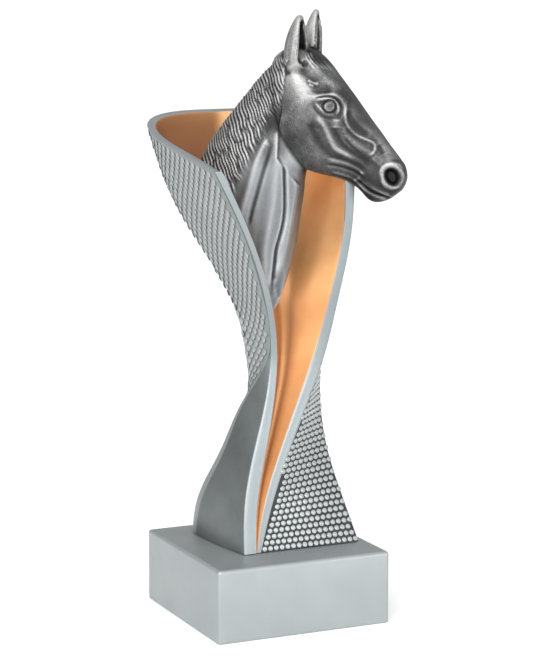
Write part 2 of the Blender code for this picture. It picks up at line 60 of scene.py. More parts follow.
# Column sections: levels as shares of its height, edges in mm
COLUMN_HEIGHT = 130.3
LEVELS = (0.0, 0.117, 0.238, 0.368, 0.497, 0.650, 0.825, 1.0)
EDGES = {
    "left band": ((-17.4, -20.8), (-16.0, -18.2), (-11.8, -15.2), (-6.0, -12.2),
                  (-2.6, -9.6), (-6.9, -15.0), (-16.6, -20.8), (-28.9, -23.4)),
    "right band": ((-11.8, -20.3), (-6.7, -18.4), (0.4, -15.9), (9.3, -13.0),
                   (16.8, -11.7), (20.3, -15.4), (22.5, -20.7), (22.3, -23.4)),
    "right": ((26.5, -20.4), (25.1, -9.8), (23.4, -1.3), (23.4, 4.7),
              (24.9, 9.4), (24.5, 15.5), (27.1, 24.1), (31.1, 32.4)),
    "back": ((24.0, 22.0), (13.4, 18.9), (2.4, 16.4), (-0.9, 12.5),
             (-4.4, 9.4), (-9.0, 19.0), (-27.2, 31.0), (-39.6, 31.2)),
    "left": ((-21.1, 22.1), (-22.2, 12.7), (-17.1, 3.7), (-10.5, -1.6),
             (-3.6, -8.6), (-7.4, -14.4), (-17.2, -20.3), (-29.4, -22.9)),
}
EDGE_ROUNDING = {
    "left": (9.0, 7.0, 4.0, 1.2, 0.2, 0.2, 0.2, 0.2),
    "back": (2.0, 2.0, 2.0, 1.5, 2.0, 7.0, 17.0, 27.0),
    "right": (2.0, 2.0, 2.0, 1.5, 2.0, 7.0, 17.0, 27.0),
}
FACE_SWELL = {
    "smooth": (1.6, 1.3, 0.8, 0.4, 0.0, 0.0, 0.0, 0.0),
    "scale": (0.0, 0.0, 0.0, 0.0, 0.0, 0.0, 0.7, 2.0),
    "hind": (0.0, 0.0, 0.0, 0.0, 0.0, 0.3, 1.0, 1.4),
    "dotted": (0.0, 0.0, 0.0, 0.0, 0.0, 0.3, 1.0, 2.0),
}
LEFT_BAND = (4.2, 4.4, 4.4, 3.2, 2.4, 2.1, 2.0, 2.6)
RIGHT_BAND = (0.9, 2.4, 3.1, 3.7, 3.9, 3.1, 3.1, 3.9)
CHANNEL_DEPTH = (0.4, 1.9, 3.8, 5.6, 7.4, 10.5, 13.0, 16.0)
VALLEY_SHARE = 0.36
VALLEY_PULL = 2.6
WALL = 3.3
CUP_START = 0.60
CUP_END = 0.97
CUP_MIDDLE_SHARE = 0.7
BAND_RUN_IN = 2.5
RIM_SLOPE = radians(17)
RIM_SLOPE_START = 0.54
COLUMN_RINGS = 210
FACE_STEPS = {"smooth": 12, "scale": 16, "hind": 10, "dotted": 16}
CORNER_STEPS = {"left": 6, "back": 10, "right": 9}
BAND_ROUNDING = 0.55
# The rim's edge in steps: distance from the wall's side, depth below its top
RIM_ROUNDING = ((0.0, 0.30), (0.10, 0.10), (0.30, 0.0))

# Where painted shade darkens the copper: places and reaches as shares of the channel's width, along a
# slant
PAINTED_SHADE_LEVELS = np.linspace(0, 1, 30)
PAINTED_SHADE_SLANT = 0.46
PAINTED_SHADE_WALL = (0.22, 0.10)
PAINTED_SHADE_WALL_STRENGTH = 0.40
PAINTED_SHADE_VALLEY = (0.32, 0.08)
PAINTED_SHADE_VALLEY_STRENGTH = 0.75
# Painted shade in the cup: the level over which it sets in, how far to the left, and the level where it
# fades
CUP_PAINTED_SHADE_RISE = 0.15
CUP_PAINTED_SHADE_LEFT = (-2.0, 5.0)
CUP_PAINTED_SHADE_TOP = (1.30, 0.30)
# Heights in metres between which painted light makes the copper paler
COPPER_PAINTED_LIGHT_HEIGHTS = (0.108, 0.150)

# The two reliefs on the column's faces, in mm; margins and pitches are given at levels
RELIEF_TOP_LEVEL = 0.985
GRID_ROWS = 420
GRID_REACH = 3
LINE_TRIES = 400
DOT_PITCHES = ((0.0, 2.15), (0.12, 2.5), (0.24, 3.1), (0.37, 3.6), (0.50, 3.2), (0.75, 2.4))
DOT_ROW = 1.95
DOT_MARGINS = (((0.0, 0.95),), ((0.40, 0.9), (0.47, 3.2)))
DOT_RADIUS = 0.93
DOT_HEIGHT = 0.30
DOT_TAPER = 0.90
DOT_EDGE = 0.16
DOT_SIDES = 12
SCALE_FOOT_LEVEL = 0.40
SCALE_PITCHES = ((0.40, 3.9), (0.55, 3.7), (0.95, 2.9))
SCALE_ROW = 2.2
SCALE_MARGINS = (((0.40, 2.0), (0.60, 2.6)), ((0.40, 1.0),))
SCALE_HALF = (1.98, 1.30)
SCALE_HEIGHT = 0.17
SCALE_TAPER = 0.97
SCALE_EDGE = 0.10
SCALE_SIDES = 14
SCALE_LEAN = radians(8)
RELIEF_SINK = 0.12

# Horse: foot in the column's mm, heading, and the line of its face (forward, up)
HORSE_HEADING = radians(-42)
HORSE_FOOT = (2.0, -5.0)
PLINTH_DRAWN = 26.7
FACE_SLOPE = radians(51.7)
FACE_POINT = (20.0, 190.2)
FACE_POINT_ALONG = 13.1

# Head sections in mm: along the face, top and bottom above it, upper and lower half width
HEAD_SECTIONS = (
    (-2.0, -9.0, -14.5, 3.6, 3.6),
    (0.5, -4.8, -17.5, 5.4, 5.0),
    (5.0, -1.6, -22.5, 7.2, 6.2),
    (11.0, -0.4, -27.5, 8.4, 7.6),
    (18.0, -0.4, -31.0, 9.8, 8.6),
    (24.0, -0.4, -31.6, 9.8, 8.8),
    (30.0, -0.5, -30.6, 8.4, 8.2),
    (36.0, -0.6, -27.6, 7.0, 7.0),
    (41.0, -0.6, -23.6, 6.0, 5.9),
    (46.0, -0.7, -20.0, 5.2, 5.0),
    (51.0, -0.7, -18.2, 5.4, 4.4),
    (55.0, -1.5, -17.8, 5.4, 4.2),
    (58.0, -3.6, -15.6, 4.6, 3.6),
    (59.5, -6.6, -11.6, 2.6, 2.0),
)

# Neck sections in mm: crest point and throat point (forward, up), half width, sideways shift
NECK_SECTIONS = (
    (4.0, 193.0, 15.0, 173.0, 4.0, 0.0),
    (-1.2, 190.9, 12.5, 165.0, 5.4, 0.0),
    (-7.4, 184.7, 10.6, 158.0, 6.4, 0.3),
    (-13.2, 177.6, 9.6, 151.5, 7.8, 0.8),
    (-18.9, 170.2, 9.0, 146.0, 9.0, 1.6),
    (-24.4, 161.8, 8.4, 140.0, 9.6, 2.6),
    (-28.0, 152.5, 7.8, 133.5, 9.6, 3.8),
    (-29.0, 142.0, 7.2, 127.5, 8.8, 5.2),
    (-25.0, 131.0, 6.2, 122.0, 7.4, 6.8),
    (-17.0, 121.0, 4.8, 116.5, 5.6, 8.2),
    (-8.0, 112.5, 3.2, 111.0, 3.6, 9.4),
    (-1.5, 107.0, 1.4, 106.8, 1.6, 10.2),
)
NECK_MARGIN = 2.4
NECK_HELD_FROM = 0.3
NECK_HELD_LEVELS = 60
NECK_FULLNESS = 0.85
NECK_THROAT_SHARE = 0.12
HEAD_FULLNESS = 0.78
HEAD_TAPER = 0.8
HORSE_RING = 48
RING_STEPS = 4

# Ears in mm: root and tip (forward, sideways, up), half breadth, half depth, facing
EARS = (
    ((7.6, 4.8, 186.0), (9.6, 5.8, 207.8), 4.0, 4.8, radians(17)),
    ((10.8, -4.6, 189.0), (11.8, -6.2, 209.6), 3.5, 4.1, radians(4)),
)
EAR_WALL = 1.15
EAR_WALL_SHARE = 0.45
EAR_WRAP = radians(124)
EAR_SPAN = (0.03, 0.985)
EAR_BELLY = 0.80
EAR_FULLNESS = 0.7
EAR_POINT = 0.08
# The ear's hollow sets in and runs out over these shares of its length
EAR_HOLLOW = (0.20, 0.20)
EAR_HOLLOW_END = (0.96, 0.16)
EAR_STEPS = 22
EAR_RING = 20
# No carving of the face from here up and back, in mm
EAR_CLEARANCE = 1.5
EAR_END = 8.0

# Narrow strokes fade over this share of their length, from this share of their height
STROKE_TAPER = 0.22
STROKE_END = 0.25
STROKE_BROAD = 1.6

# Carving strokes on the head: points along and above the face, half width, height, all in mm
HEAD_STROKES = (
    # brow over the eye
    (((15.4, -11.4), (17.6, -9.4), (19.0, -7.0), (20.6, -4.6), (23.2, -3.2), (26.2, -3.6),
      (28.4, -5.4), (29.0, -7.4)), 0.94, 0.33),
    # socket round the eye
    (((20.6, -8.6), (23.4, -6.6), (26.4, -7.0)), 3.52, -0.35),
    # upper lid
    (((19.0, -9.9), (20.2, -7.4), (21.8, -5.7), (24.0, -5.1), (26.0, -5.8), (27.2, -7.6)), 0.58, 0.34),
    # crease over the lid
    (((18.2, -9.6), (19.6, -6.8), (21.4, -4.8), (24.0, -4.0), (26.8, -4.9)), 0.33, -0.26),
    # lower lid
    (((19.4, -10.2), (21.6, -10.2), (24.2, -9.5), (26.4, -8.0)), 0.40, 0.15),
    # crease under the lower lid
    (((19.8, -11.6), (22.4, -11.6), (25.4, -10.6), (27.6, -8.8)), 0.55, -0.13),
    # hollow over the eye
    (((9.8, -7.8), (13.2, -7.7), (16.2, -7.2), (18.2, -5.2)), 1.87, -0.74),
    # small ridges inside that hollow
    (((11.6, -8.2), (13.6, -7.2), (15.2, -6.0)), 0.55, 0.33),
    (((13.0, -8.6), (14.8, -7.6)), 0.44, 0.23),
    # ridge behind the hollow
    (((7.4, -11.4), (11.0, -12.0), (14.6, -11.6), (17.2, -10.4)), 1.65, 0.48),
    # forehead's edge
    (((5.0, -3.4), (9.0, -3.8), (13.5, -3.4), (18.0, -2.4), (22.0, -1.6)), 1.43, 0.25),
    # fold at the ear's root
    (((6.8, -4.0), (7.4, -8.2), (6.2, -11.6), (4.6, -14.4)), 0.88, -0.25),
    (((5.2, -5.0), (5.8, -8.4), (4.8, -11.4)), 0.88, 0.16),
    # forelock's strands
    (((4.6, -2.6), (8.0, -2.9), (12.4, -2.0)), 0.34, 0.16),
    (((4.2, -4.2), (7.2, -4.6), (10.4, -4.2)), 0.32, 0.14),
    (((4.8, -1.4), (9.4, -1.0), (14.4, -0.6)), 0.34, 0.23),
    (((4.4, -3.4), (7.6, -3.7), (11.4, -3.0)), 0.30, 0.14),
    (((4.8, -2.0), (8.8, -2.0), (13.2, -1.3)), 0.30, 0.14),
    # vein from the brow to the nose
    (((24.6, -2.0), (27.2, -4.0), (29.9, -5.9), (32.4, -6.8), (36.1, -6.4), (39.3, -4.9),
      (41.6, -3.8), (43.4, -4.4), (44.2, -6.2), (43.8, -7.9)), 0.55, 0.23),
    # hollow between the vein and the bridge
    (((28.0, -3.4), (31.0, -4.6), (35.3, -4.4), (39.0, -3.2)), 0.94, -0.31),
    (((43.0, -2.8), (46.6, -3.6)), 0.88, -0.25),
    # edge of the bridge
    (((24.7, -1.8), (32.2, -2.0), (40.8, -1.8), (48.5, -1.9)), 0.99, 0.13),
    # second ridge below the vein
    (((33.0, -8.8), (38.1, -8.3), (42.2, -7.0), (46.4, -5.6), (49.4, -5.4)), 0.88, 0.16),
    (((34.4, -10.0), (38.4, -9.9), (42.6, -8.8)), 0.55, -0.13),
    # ridge of the cheek bone
    (((23.0, -13.0), (26.6, -12.6), (30.2, -13.4), (34.5, -14.6), (38.0, -13.7), (42.4, -11.6)),
     1.04, 0.33),
    # hollow above the cheek bone
    (((29.6, -10.4), (34.0, -11.8), (38.6, -11.4), (43.0, -9.8), (47.6, -8.4)), 1.32, -0.38),
    # swelling under the eye
    (((27.8, -8.2), (30.4, -10.4)), 1.32, 0.26),
    (((31.6, -7.6), (33.4, -9.0)), 0.88, 0.12),
    # hollow under the cheek bone
    (((25.0, -16.2), (30.0, -17.4), (36.0, -17.4), (41.0, -14.4), (45.6, -12.2)), 1.65, -0.33),
    # round cheek
    (((20.0, -18.5), (25.4, -21.0), (31.4, -22.8)), 5.4, 0.60),
    # soft edge of the round jaw
    (((15.8, -19.4), (17.8, -24.0), (21.6, -27.2), (26.4, -29.0), (31.6, -29.2), (36.2, -27.8)),
     1.43, 0.23),
    # creases behind the mouth
    (((36.4, -19.2), (40.4, -15.9), (44.5, -13.5), (48.6, -12.4)), 0.61, 0.23),
    (((37.4, -20.6), (41.2, -17.3), (45.2, -14.8), (48.8, -13.6)), 0.53, -0.26),
    (((40.4, -21.4), (44.5, -18.1), (48.2, -16.2)), 0.61, 0.16),
    (((40.6, -22.8), (45.0, -19.2), (48.8, -17.3)), 0.53, -0.23),
    # mouth
    (((48.2, -15.9), (50.6, -15.6), (53.3, -14.6), (56.9, -12.7), (60.5, -10.6)), 0.52, -1.30),
    # lips beside it
    (((49.6, -14.0), (53.0, -13.0), (56.4, -11.4), (58.6, -9.9)), 0.88, 0.23),
    (((50.6, -17.0), (54.0, -16.0), (57.2, -14.0)), 0.88, 0.13),
    # fold behind the lips
    (((46.8, -12.6), (47.8, -15.0), (47.4, -17.6)), 0.66, 0.16),
    # ring of the nostril: high over its upper side, low below
    (((51.4, -8.6), (50.2, -6.0), (50.9, -3.2), (53.2, -1.5), (56.2, -1.9), (58.0, -4.2)), 0.72, 0.34),
    (((58.4, -4.6), (58.0, -7.2), (55.8, -9.3), (52.6, -8.9)), 0.55, 0.16),
    # ridge that runs from the ring along the nose
    (((45.0, -6.8), (47.5, -6.6), (50.0, -5.9)), 0.77, 0.16),
)
# The jaw's lower edge, along and above the face: behind it the neck's strokes begin
JAW_BLEND = 1.0
JAW_LINE = ((-6.0, -1.0), (0.5, -3.5), (4.0, -12.0), (7.0, -14.5), (14.0, -20.5), (19.5, -27.0),
            (26.0, -32.0), (60.0, -34.0))
EYE = (23.4, -7.4)
EYE_BALL = 1.9
EYE_BALL_HEIGHT = 0.70
EYE_RING = 0.22
EYE_RING_PLACE = 1.12
EYE_RING_WIDTH = 0.16
NOSTRIL = (54.5, -5.4)
NOSTRIL_HALF = (3.8, 3.1)
NOSTRIL_DEPTH = 3.2
NOSTRIL_STEEPNESS = 2.2
# Carving sets in where the skin faces sideways, and this far from the middle, in mm
SIDEWAYS_GAIN = 1.6
MIDDLE_BLEND = 1.5

# Carving strokes on the neck and chest: points forward and up, half width, height, in mm
NECK_STROKES = (
    # fold that starts under the mane
    (((-0.6, 166.0), (-2.7, 163.2), (-5.4, 153.5), (-8.2, 143.0), (-9.4, 137.0)), 1.5, 0.50),
    (((0.6, 165.0), (-2.6, 152.2), (-4.9, 143.1), (-6.0, 137.0)), 0.75, -0.42),
    # broad fold of the throat
    (((2.7, 167.3), (2.4, 152.4), (1.2, 139.4), (-0.4, 129.3), (-0.6, 119.0)), 1.9, 0.50),
    # thin groove before it
    (((4.2, 164.0), (5.2, 152.0), (5.3, 139.5), (3.4, 130.4), (2.7, 123.8), (1.4, 114.0)), 0.50, -0.70),
    # fold at the throat's edge
    (((7.2, 158.0), (8.4, 150.5), (7.9, 143.3), (5.6, 130.2), (2.6, 117.0)), 1.2, 0.42),
    # groove behind the jaw
    (((6.8, 180.0), (5.0, 175.0), (4.0, 169.0), (5.0, 162.0), (9.6, 156.6), (16.0, 153.6)), 0.9, -0.70),
)
MANE_LINE = ((6.6, 188.5), (5.6, 183.8), (3.6, 180.2), (0.8, 176.3), (-1.7, 171.2), (-3.9, 166.3),
             (-6.5, 161.2), (-9.0, 156.6), (-11.9, 150.0), (-20.0, 138.0))
# Locks of the mane: two crossing sets that wander in a long wave and a short ripple per mm
MANE_LEAN = radians(24)
MANE_CROSSING = radians(13)
MANE_RAGGED = 1.3
MANE_WANDER = 0.40
MANE_WAVE = (0.3, 0.22)
MANE_RIPPLE = (-0.6, 0.9)
MANE_RIPPLE_SHARE = 0.35
MANE_TOP = 193.0
MANE_TOP_BLEND = 2.0
MANE_LOCK_PITCH = 1.12
MANE_LOCK_LENGTH = 11.0
MANE_LOCK_HEIGHT = 0.42
MANE_TAPER_SHARE = 0.45
MANE_LAYER_DROP = 0.25
MANE_GROUND = 0.25
MANE_EDGE = 0.10
MANE_FADE = 5.5
MANE_FADE_START = 0.6
LOCK_FADE_START = 0.7
CARVE_VOXEL = 0.36
CARVE_SMOOTHING = 2
# Darkness of the pewter from the carving: rounds of smoothing, gain, and the fine part's limit
FINE_ROUNDS = 6
FINE_SHADE = 2.4
FINE_REACH = 0.15
BROAD_ROUNDS = 40
BROAD_SHADE = 0.25
EAR_START = (190.0, 3.0)
# Ears: painted shade on the side facing forward, painted light on their backs, more on the far ear's
EAR_FRONT_FACING = 0.25
EAR_FRONT_PAINTED_SHADE = -0.30
EAR_BACK_PAINTED_LIGHT = (0.08, 0.24)
# Where the chest's silver begins, with its reach: down from here, back from here, before the mane
CHEST_TOP = (168.0, 12.0)
CHEST_FRONT = (11.0, 3.0)
CHEST_FROM_MANE = 5.0
CHEST_FROM_MANE_START = 0.4

# Painted highlights and painted shade on the head, darker or brighter than their relief: along and above
# the face, reach
HEAD_PAINTED_LIGHT_AND_SHADE = (
    ((55.0, -16.5), 5.5, -0.40),
    ((47.0, -15.5), 4.5, -0.12),
    ((57.0, -5.0), 6.5, -0.44),
    ((50.0, -4.0), 2.2, 0.20),
    ((14.5, -11.0), 3.6, 0.44),
    ((8.0, -11.5), 4.4, 0.34),
    ((14.0, -6.8), 2.6, -0.18),
    ((23.4, -7.4), 1.8, -0.30),
    ((34.0, -5.2), 3.6, -0.16),
    ((24.0, -1.5), 5.0, -0.14),
    ((32.0, -1.5), 4.5, -0.08),
    ((40.0, -1.5), 4.5, -0.06),
    ((25.0, -19.0), 5.0, -0.10),
    ((20.0, -29.0), 3.0, 0.14),
    ((28.0, -31.0), 3.5, 0.16),
    ((44.0, -11.0), 4.5, -0.12),
    ((15.5, -27.5), 3.2, -0.26),
    ((24.5, -34.0), 4.0, -0.12),
)
RELIEF_TOP = 0.86


def spline(knots, values, where):
    """Natural cubic spline through one value or point at each knot."""
    knots = np.asarray(knots, float)
    values = np.asarray(values, float)
    last = len(knots) - 1
    step = np.diff(knots)
    matrix = np.eye(last + 1)
    right = np.zeros(values.shape)
    for i in range(1, last):
        matrix[i, i - 1] = step[i - 1]
        matrix[i, i] = 2 * (step[i - 1] + step[i])
        matrix[i, i + 1] = step[i]
        slope_after = (values[i + 1] - values[i]) / step[i]
        slope_before = (values[i] - values[i - 1]) / step[i - 1]
        right[i] = 6 * (slope_after - slope_before)
    bend = np.linalg.solve(matrix, right)
    i = int(np.clip(np.searchsorted(knots, where) - 1, 0, last - 1))
    a = (knots[i + 1] - where) / step[i]
    b = (where - knots[i]) / step[i]
    straight = a * values[i] + b * values[i + 1]
    return straight + ((a ** 3 - a) * bend[i] + (b ** 3 - b) * bend[i + 1]) * step[i] ** 2 / 6


def ease(share):
    """Smooth step from 0 to 1."""
    share = np.clip(share, 0.0, 1.0)
    return share * share * (3 - 2 * share)


def unit(vector):
    return vector / np.linalg.norm(vector)


# Column sections


def swollen_side(start, end, corner_a, corner_b, swell, steps):
    """Points from start to end beside the line of two corners, pushed outward by the swell."""
    share = np.linspace(0, 1, steps + 1)[:, None]
    points = start + (end - start) * share
    line = corner_b - corner_a
    outward = np.array((-line[1], line[0])) / np.linalg.norm(line)
    along = ((points - corner_a) @ line) / (line @ line)
    return points + outward * (swell * 4 * along * (1 - along))[:, None]


def soft_corner(start, corner, end, steps):
    """Points of a soft arc from start to end that bends toward the corner."""
    share = np.linspace(0, 1, steps + 1)[:, None]
    return (1 - share) ** 2 * start + 2 * share * (1 - share) * corner + share ** 2 * end


def cut_back(corner, neighbour, distance):
    """The point at a distance from a corner toward its neighbour, at most half way."""
    line = neighbour - corner
    length = np.linalg.norm(line)
    return corner + line / length * min(distance, 0.49 * length)


def outer_path(level):
    """Plan of the column's outside at a level, and the name of the face behind each point."""
    at = {name: spline(LEVELS, path, level) for name, path in EDGES.items()}
    rounding = {name: max(0.05, float(spline(LEVELS, row, level)))
                for name, row in EDGE_ROUNDING.items()}
    swell = {name: float(spline(LEVELS, row, level)) for name, row in FACE_SWELL.items()}
    order = ("left band", "left", "back", "right", "right band")
    faces = ("smooth", "scale", "hind", "dotted")
    starts = [at["left band"]]
    ends = []
    for before, name, after in zip(order, order[1:], order[2:]):
        ends.append(cut_back(at[name], at[before], rounding[name]))
        starts.append(cut_back(at[name], at[after], rounding[name]))
    ends.append(at["right band"])
    sides = []
    for i, face in enumerate(faces):
        corners = at[order[i]], at[order[i + 1]]
        sides.append(swollen_side(starts[i], ends[i], *corners, swell[face], FACE_STEPS[face]))
    points = []
    names = []
    for i, side in enumerate(sides):
        points.extend(side[:-1])
        names.extend([faces[i]] * (len(side) - 1))
        if i + 1 < len(sides):
            corner = at[order[i + 1]]
            shift = (side[-1] - ends[i] + sides[i + 1][0] - starts[i + 1]) / 2
            steps = CORNER_STEPS[order[i + 1]]
            arc = soft_corner(side[-1], corner + shift, sides[i + 1][0], steps)
            points.extend(arc[:-1])
            half = len(arc[:-1]) // 2 if i else 0
            names.extend([faces[i]] * half + [faces[i + 1]] * (len(arc) - 1 - half))
    points.append(sides[-1][-1])
    return np.array(points), names


def inner_path(level, outer):
    """Plan of the channel at a level, which opens into the cup above the waist."""
    left = outer[0] + np.array((float(spline(LEVELS, LEFT_BAND, level)), 0.0))
    right = outer[-1] - np.array((float(spline(LEVELS, RIGHT_BAND, level)), 0.0))
    walk = np.concatenate(((0.0,), np.cumsum(np.linalg.norm(np.diff(outer, axis=0), axis=1))))
    share = (walk / walk[-1])[:, None]
    depth = float(spline(LEVELS, CHANNEL_DEPTH, level))
    valley = left + (right - left) * VALLEY_SHARE
    valley = valley + np.array((0.0, depth * (1 + VALLEY_PULL) / VALLEY_PULL))
    pull = 2 * share * (1 - share) * VALLEY_PULL
    ends = (1 - share) ** 2 * left + share ** 2 * right
    channel = (ends + pull * valley) / ((1 - share) ** 2 + pull + share ** 2)

    middle = (outer[0] + outer[-1]) / 2
    middle = middle + (outer.mean(axis=0) - middle) * CUP_MIDDLE_SHARE
    inward = middle - outer
    inward = inward / np.linalg.norm(inward, axis=1)[:, None]
    shell = outer + inward * WALL
    reach = WALL * BAND_RUN_IN
    near_left = np.exp(-(walk / reach) ** 2)[:, None]
    near_right = np.exp(-((walk[-1] - walk) / reach) ** 2)[:, None]
    shell = shell + near_left * (left - shell[0]) + near_right * (right - shell[-1])
    opening = float(ease((level - CUP_START) / (CUP_END - CUP_START)))
    return channel * (1 - opening) + shell * opening


def height_at(level, plan, front):
    """Height of plan points at a level: the rim rises toward the back."""
    slope = tan(RIM_SLOPE) * float(ease((level - RIM_SLOPE_START) / (1 - RIM_SLOPE_START)))
    return level * COLUMN_HEIGHT + slope * (plan[..., 1] - front)


def column_place(points):
    """Column points in mm as world points."""
    return np.asarray(points) * MM + COLUMN_FOOT


def soften(ring, corners, distance):
    """A closed plan with some corners replaced by three points of a small arc."""
    points = []
    for i, point in enumerate(ring):
        if i in corners:
            before = cut_back(point, ring[i - 1], distance)
            after = cut_back(point, ring[(i + 1) % len(ring)], distance)
            points.extend(soft_corner(before, point, after, 2))
        else:
            points.append(point)
    return np.array(points)


def column_section(level):
    """Closed plan of the wall at a level with its four band edges rounded, and a finish for each side."""
    outer, names = outer_path(level)
    inner = inner_path(level, outer)[::-1]
    count = len(outer)
    plan = soften(np.vstack((outer, inner)), (0, count - 1, count, 2 * count - 1), BAND_ROUNDING)
    sides = ["band"] * 2 + names + ["band"] * 5 + ["copper"] * (count - 1) + ["band"] * 3
    return plan, sides[:len(plan)], outer[0][1]


# Mesh helpers


def loft(shape, rings, finishes=None):
    """A closed ring extruded from place to place; each new face takes its side's finish."""
    ring = bmesh.ops.create_circle(shape, segments=len(rings[0]), radius=1.0)["verts"]
    for v, point in zip(ring, rings[0]):
        v.co = point
    first = ring
    for points in rings[1:]:
        edges = [shape.edges.get((a, b)) for a, b in zip(ring, ring[1:] + ring[:1])]
        grown = bmesh.ops.extrude_edge_only(shape, edges=edges)
        fresh = {v for v in grown["geom"] if isinstance(v, bmesh.types.BMVert)}
        above = []
        for v in ring:
            above.append(next(e.other_vert(v) for e in v.link_edges if e.other_vert(v) in fresh))
        for v, point in zip(above, points):
            v.co = point
        if finishes:
            for i, finish in enumerate(finishes):
                edge = shape.edges.get((above[i], above[(i + 1) % len(above)]))
                edge.link_faces[0].material_index = finish
        ring = above
    return first, ring


def cap(shape, ring):
    """One face over a closed ring."""
    return bmesh.ops.contextual_create(shape, geom=list(ring))


def add_piece(name, shape, *materials, sharp_angle=radians(40)):
    """A named object from a bmesh, shaded smooth between sharp edges."""
    mesh = bpy.data.meshes.new(name)
    shape.to_mesh(mesh)
    shape.free()
    mesh.shade_smooth()
    if sharp_angle:
        mesh.set_sharp_from_angle(angle=sharp_angle)
    piece = bpy.data.objects.new(name, mesh)
    bpy.context.scene.collection.objects.link(piece)
    for material in materials:
        mesh.materials.append(material)
    return piece


# Finishes


class Nodes:
    """Short hand for a material's nodes: values on sockets, links between them."""

    def __init__(self, name):
        self.material = bpy.data.materials.new(name)
        self.material.use_nodes = True
        self.tree = self.material.node_tree
        self.shader = self.tree.nodes["Principled BSDF"]
        self.place = self.tree.nodes.new("ShaderNodeTexCoord").outputs["Object"]

    def set(self, **values):
        for name, value in values.items():
            self.shader.inputs[name.replace("_", " ")].default_value = value

    def node(self, kind, values=None, **settings):
        made = self.tree.nodes.new("ShaderNode" + kind)
        for name, value in settings.items():
            setattr(made, name, value)
        for name, value in (values or {}).items():
            if isinstance(value, bpy.types.NodeSocket):
                self.tree.links.new(value, made.inputs[name])
            else:
                made.inputs[name].default_value = value
        return made

    def noise(self, per_mm, detail=3.0, roughness=0.5):
        values = {"Vector": self.place, "Scale": per_mm / MM, "Detail": detail, "Roughness": roughness}
        return self.node("TexNoise", values).outputs["Fac"]

    def ramp(self, fac, *stops):
        made = self.node("ValToRGB", {"Fac": fac})
        ramp = made.color_ramp
        while len(ramp.elements) < len(stops):
            ramp.elements.new(0.5)
        for element, (place, colour) in zip(ramp.elements, stops):
            element.position = place
            element.color = (*colour, 1.0) if len(colour) == 3 else colour
        return made.outputs["Color"]

    def spread(self, fac, low, high):
        """A factor's middle range stretched between two values."""
        values = {"Value": fac, "From Min": 0.3, "From Max": 0.7, "To Min": low, "To Max": high}
        return self.node("MapRange", values).outputs["Result"]

    def bump(self, height, distance, strength=1.0):
        values = {"Height": height, "Distance": distance, "Strength": strength}
        made = self.node("Bump", values)
        self.tree.links.new(made.outputs["Normal"], self.shader.inputs["Normal"])

    def drive(self, name, socket):
        self.tree.links.new(socket, self.shader.inputs[name])


# Spray paints: darkest and lightest colour, roughness, metallic share, strength of the grain
PAINTS = {
    "plinth": ((0.265, 0.29, 0.295), (0.305, 0.33, 0.335), 0.40, 0.52, 1.0),
    "band": ((0.218, 0.246, 0.256), (0.256, 0.284, 0.294), 0.40, 0.55, 1.0),
    # Smooth face: its dark colour is a painted reflection of dark surroundings
    "smooth": ((0.09, 0.10, 0.10), (0.15, 0.165, 0.165), 0.34, 0.75, 2.0),
    "scale": ((0.19, 0.21, 0.21), (0.24, 0.26, 0.26), 0.45, 0.55, 1.0),
    "hind": ((0.21, 0.23, 0.235), (0.26, 0.28, 0.285), 0.42, 0.60, 1.0),
    "dotted": ((0.012, 0.013, 0.014), (0.05, 0.052, 0.055), 0.60, 0.40, 1.0),
    "stud": ((0.31, 0.335, 0.34), (0.38, 0.405, 0.41), 0.36, 0.50, 1.0),
    "scale top": ((0.29, 0.31, 0.31), (0.34, 0.365, 0.365), 0.42, 0.50, 1.0),
    # Scale walls: painted shade under each scale's raised edge
    "scale wall shade": ((0.05, 0.055, 0.055), (0.12, 0.13, 0.13), 0.6, 0.4, 1.0),
}
COLUMN_FINISHES = ("band", "smooth", "scale", "hind", "dotted", "copper")
# Small flakes and broad clouds in every paint: how many to a mm, and the height of a flake in metres
FLAKES = (7.0, 2.0)
FLAKE_HEIGHT = 0.00003
CLOUDS = (0.08, 2.0)
CLOUD_SHARE = 0.35
PAINT_STOPS = (0.38, 0.62)
# Copper: pairs of a darker and a lighter colour, for the foot, for the top made paler by painted light,
# and for the places in painted shade
COPPER_CLOUDS = (0.12, 2.0)
COPPER_STOPS = (0.35, 0.65)
COPPER_LOW = ((0.50, 0.235, 0.088), (0.54, 0.26, 0.10))
COPPER_HIGH = ((0.86, 0.47, 0.21), (0.92, 0.52, 0.24))
COPPER_PAINTED_SHADE = ((0.21, 0.085, 0.033), (0.26, 0.11, 0.045))
COPPER_METALLIC = 0.55
COPPER_ROUGHNESS = (0.40, 0.54)
# Pewter: colours of the head and of the chest at four stages from hollow to ridge
PEWTER_STAGES = (0.0, 0.36, 0.56, 1.0)
PEWTER_HEAD = ((0.004, 0.004, 0.004), (0.022, 0.022, 0.023), (0.075, 0.075, 0.076), (0.42, 0.42, 0.415))
PEWTER_CHEST = ((0.01, 0.011, 0.012), (0.085, 0.09, 0.095), (0.16, 0.168, 0.174), (0.42, 0.43, 0.44))
PEWTER_METALLIC = 0.70
PEWTER_ROUGHNESS = (0.36, 0.54)
# Its stains and specks: how many to a mm, detail and roughness, and how far they shift the stage
STAINS = (0.35, 4.0, 0.6)
STAIN_SHIFT = 0.05
SPECKS = (3.6, 4.0, 0.7)
SPECK_SHIFT = 0.19
SPECK_HEIGHT = 0.00006
CHEST_MOTTLE = 0.35


def paint(name):
    """Metallic spray paint: small flakes in colour, gloss and surface."""
    dark, light, roughness, metallic, grain = PAINTS[name]
    m = Nodes(name + " paint")
    m.set(Metallic=metallic)
    flakes = m.noise(*FLAKES)
    clouds = m.noise(*CLOUDS)
    mixed = m.node("Mix", {"Factor": CLOUD_SHARE, "A": flakes, "B": clouds}).outputs["Result"]
    m.drive("Base Color", m.ramp(mixed, *zip(PAINT_STOPS, (dark, light))))
    m.drive("Roughness", m.spread(flakes, roughness - 0.05, roughness + 0.06))
    m.bump(flakes, FLAKE_HEIGHT * grain, 0.5)
    return m.material


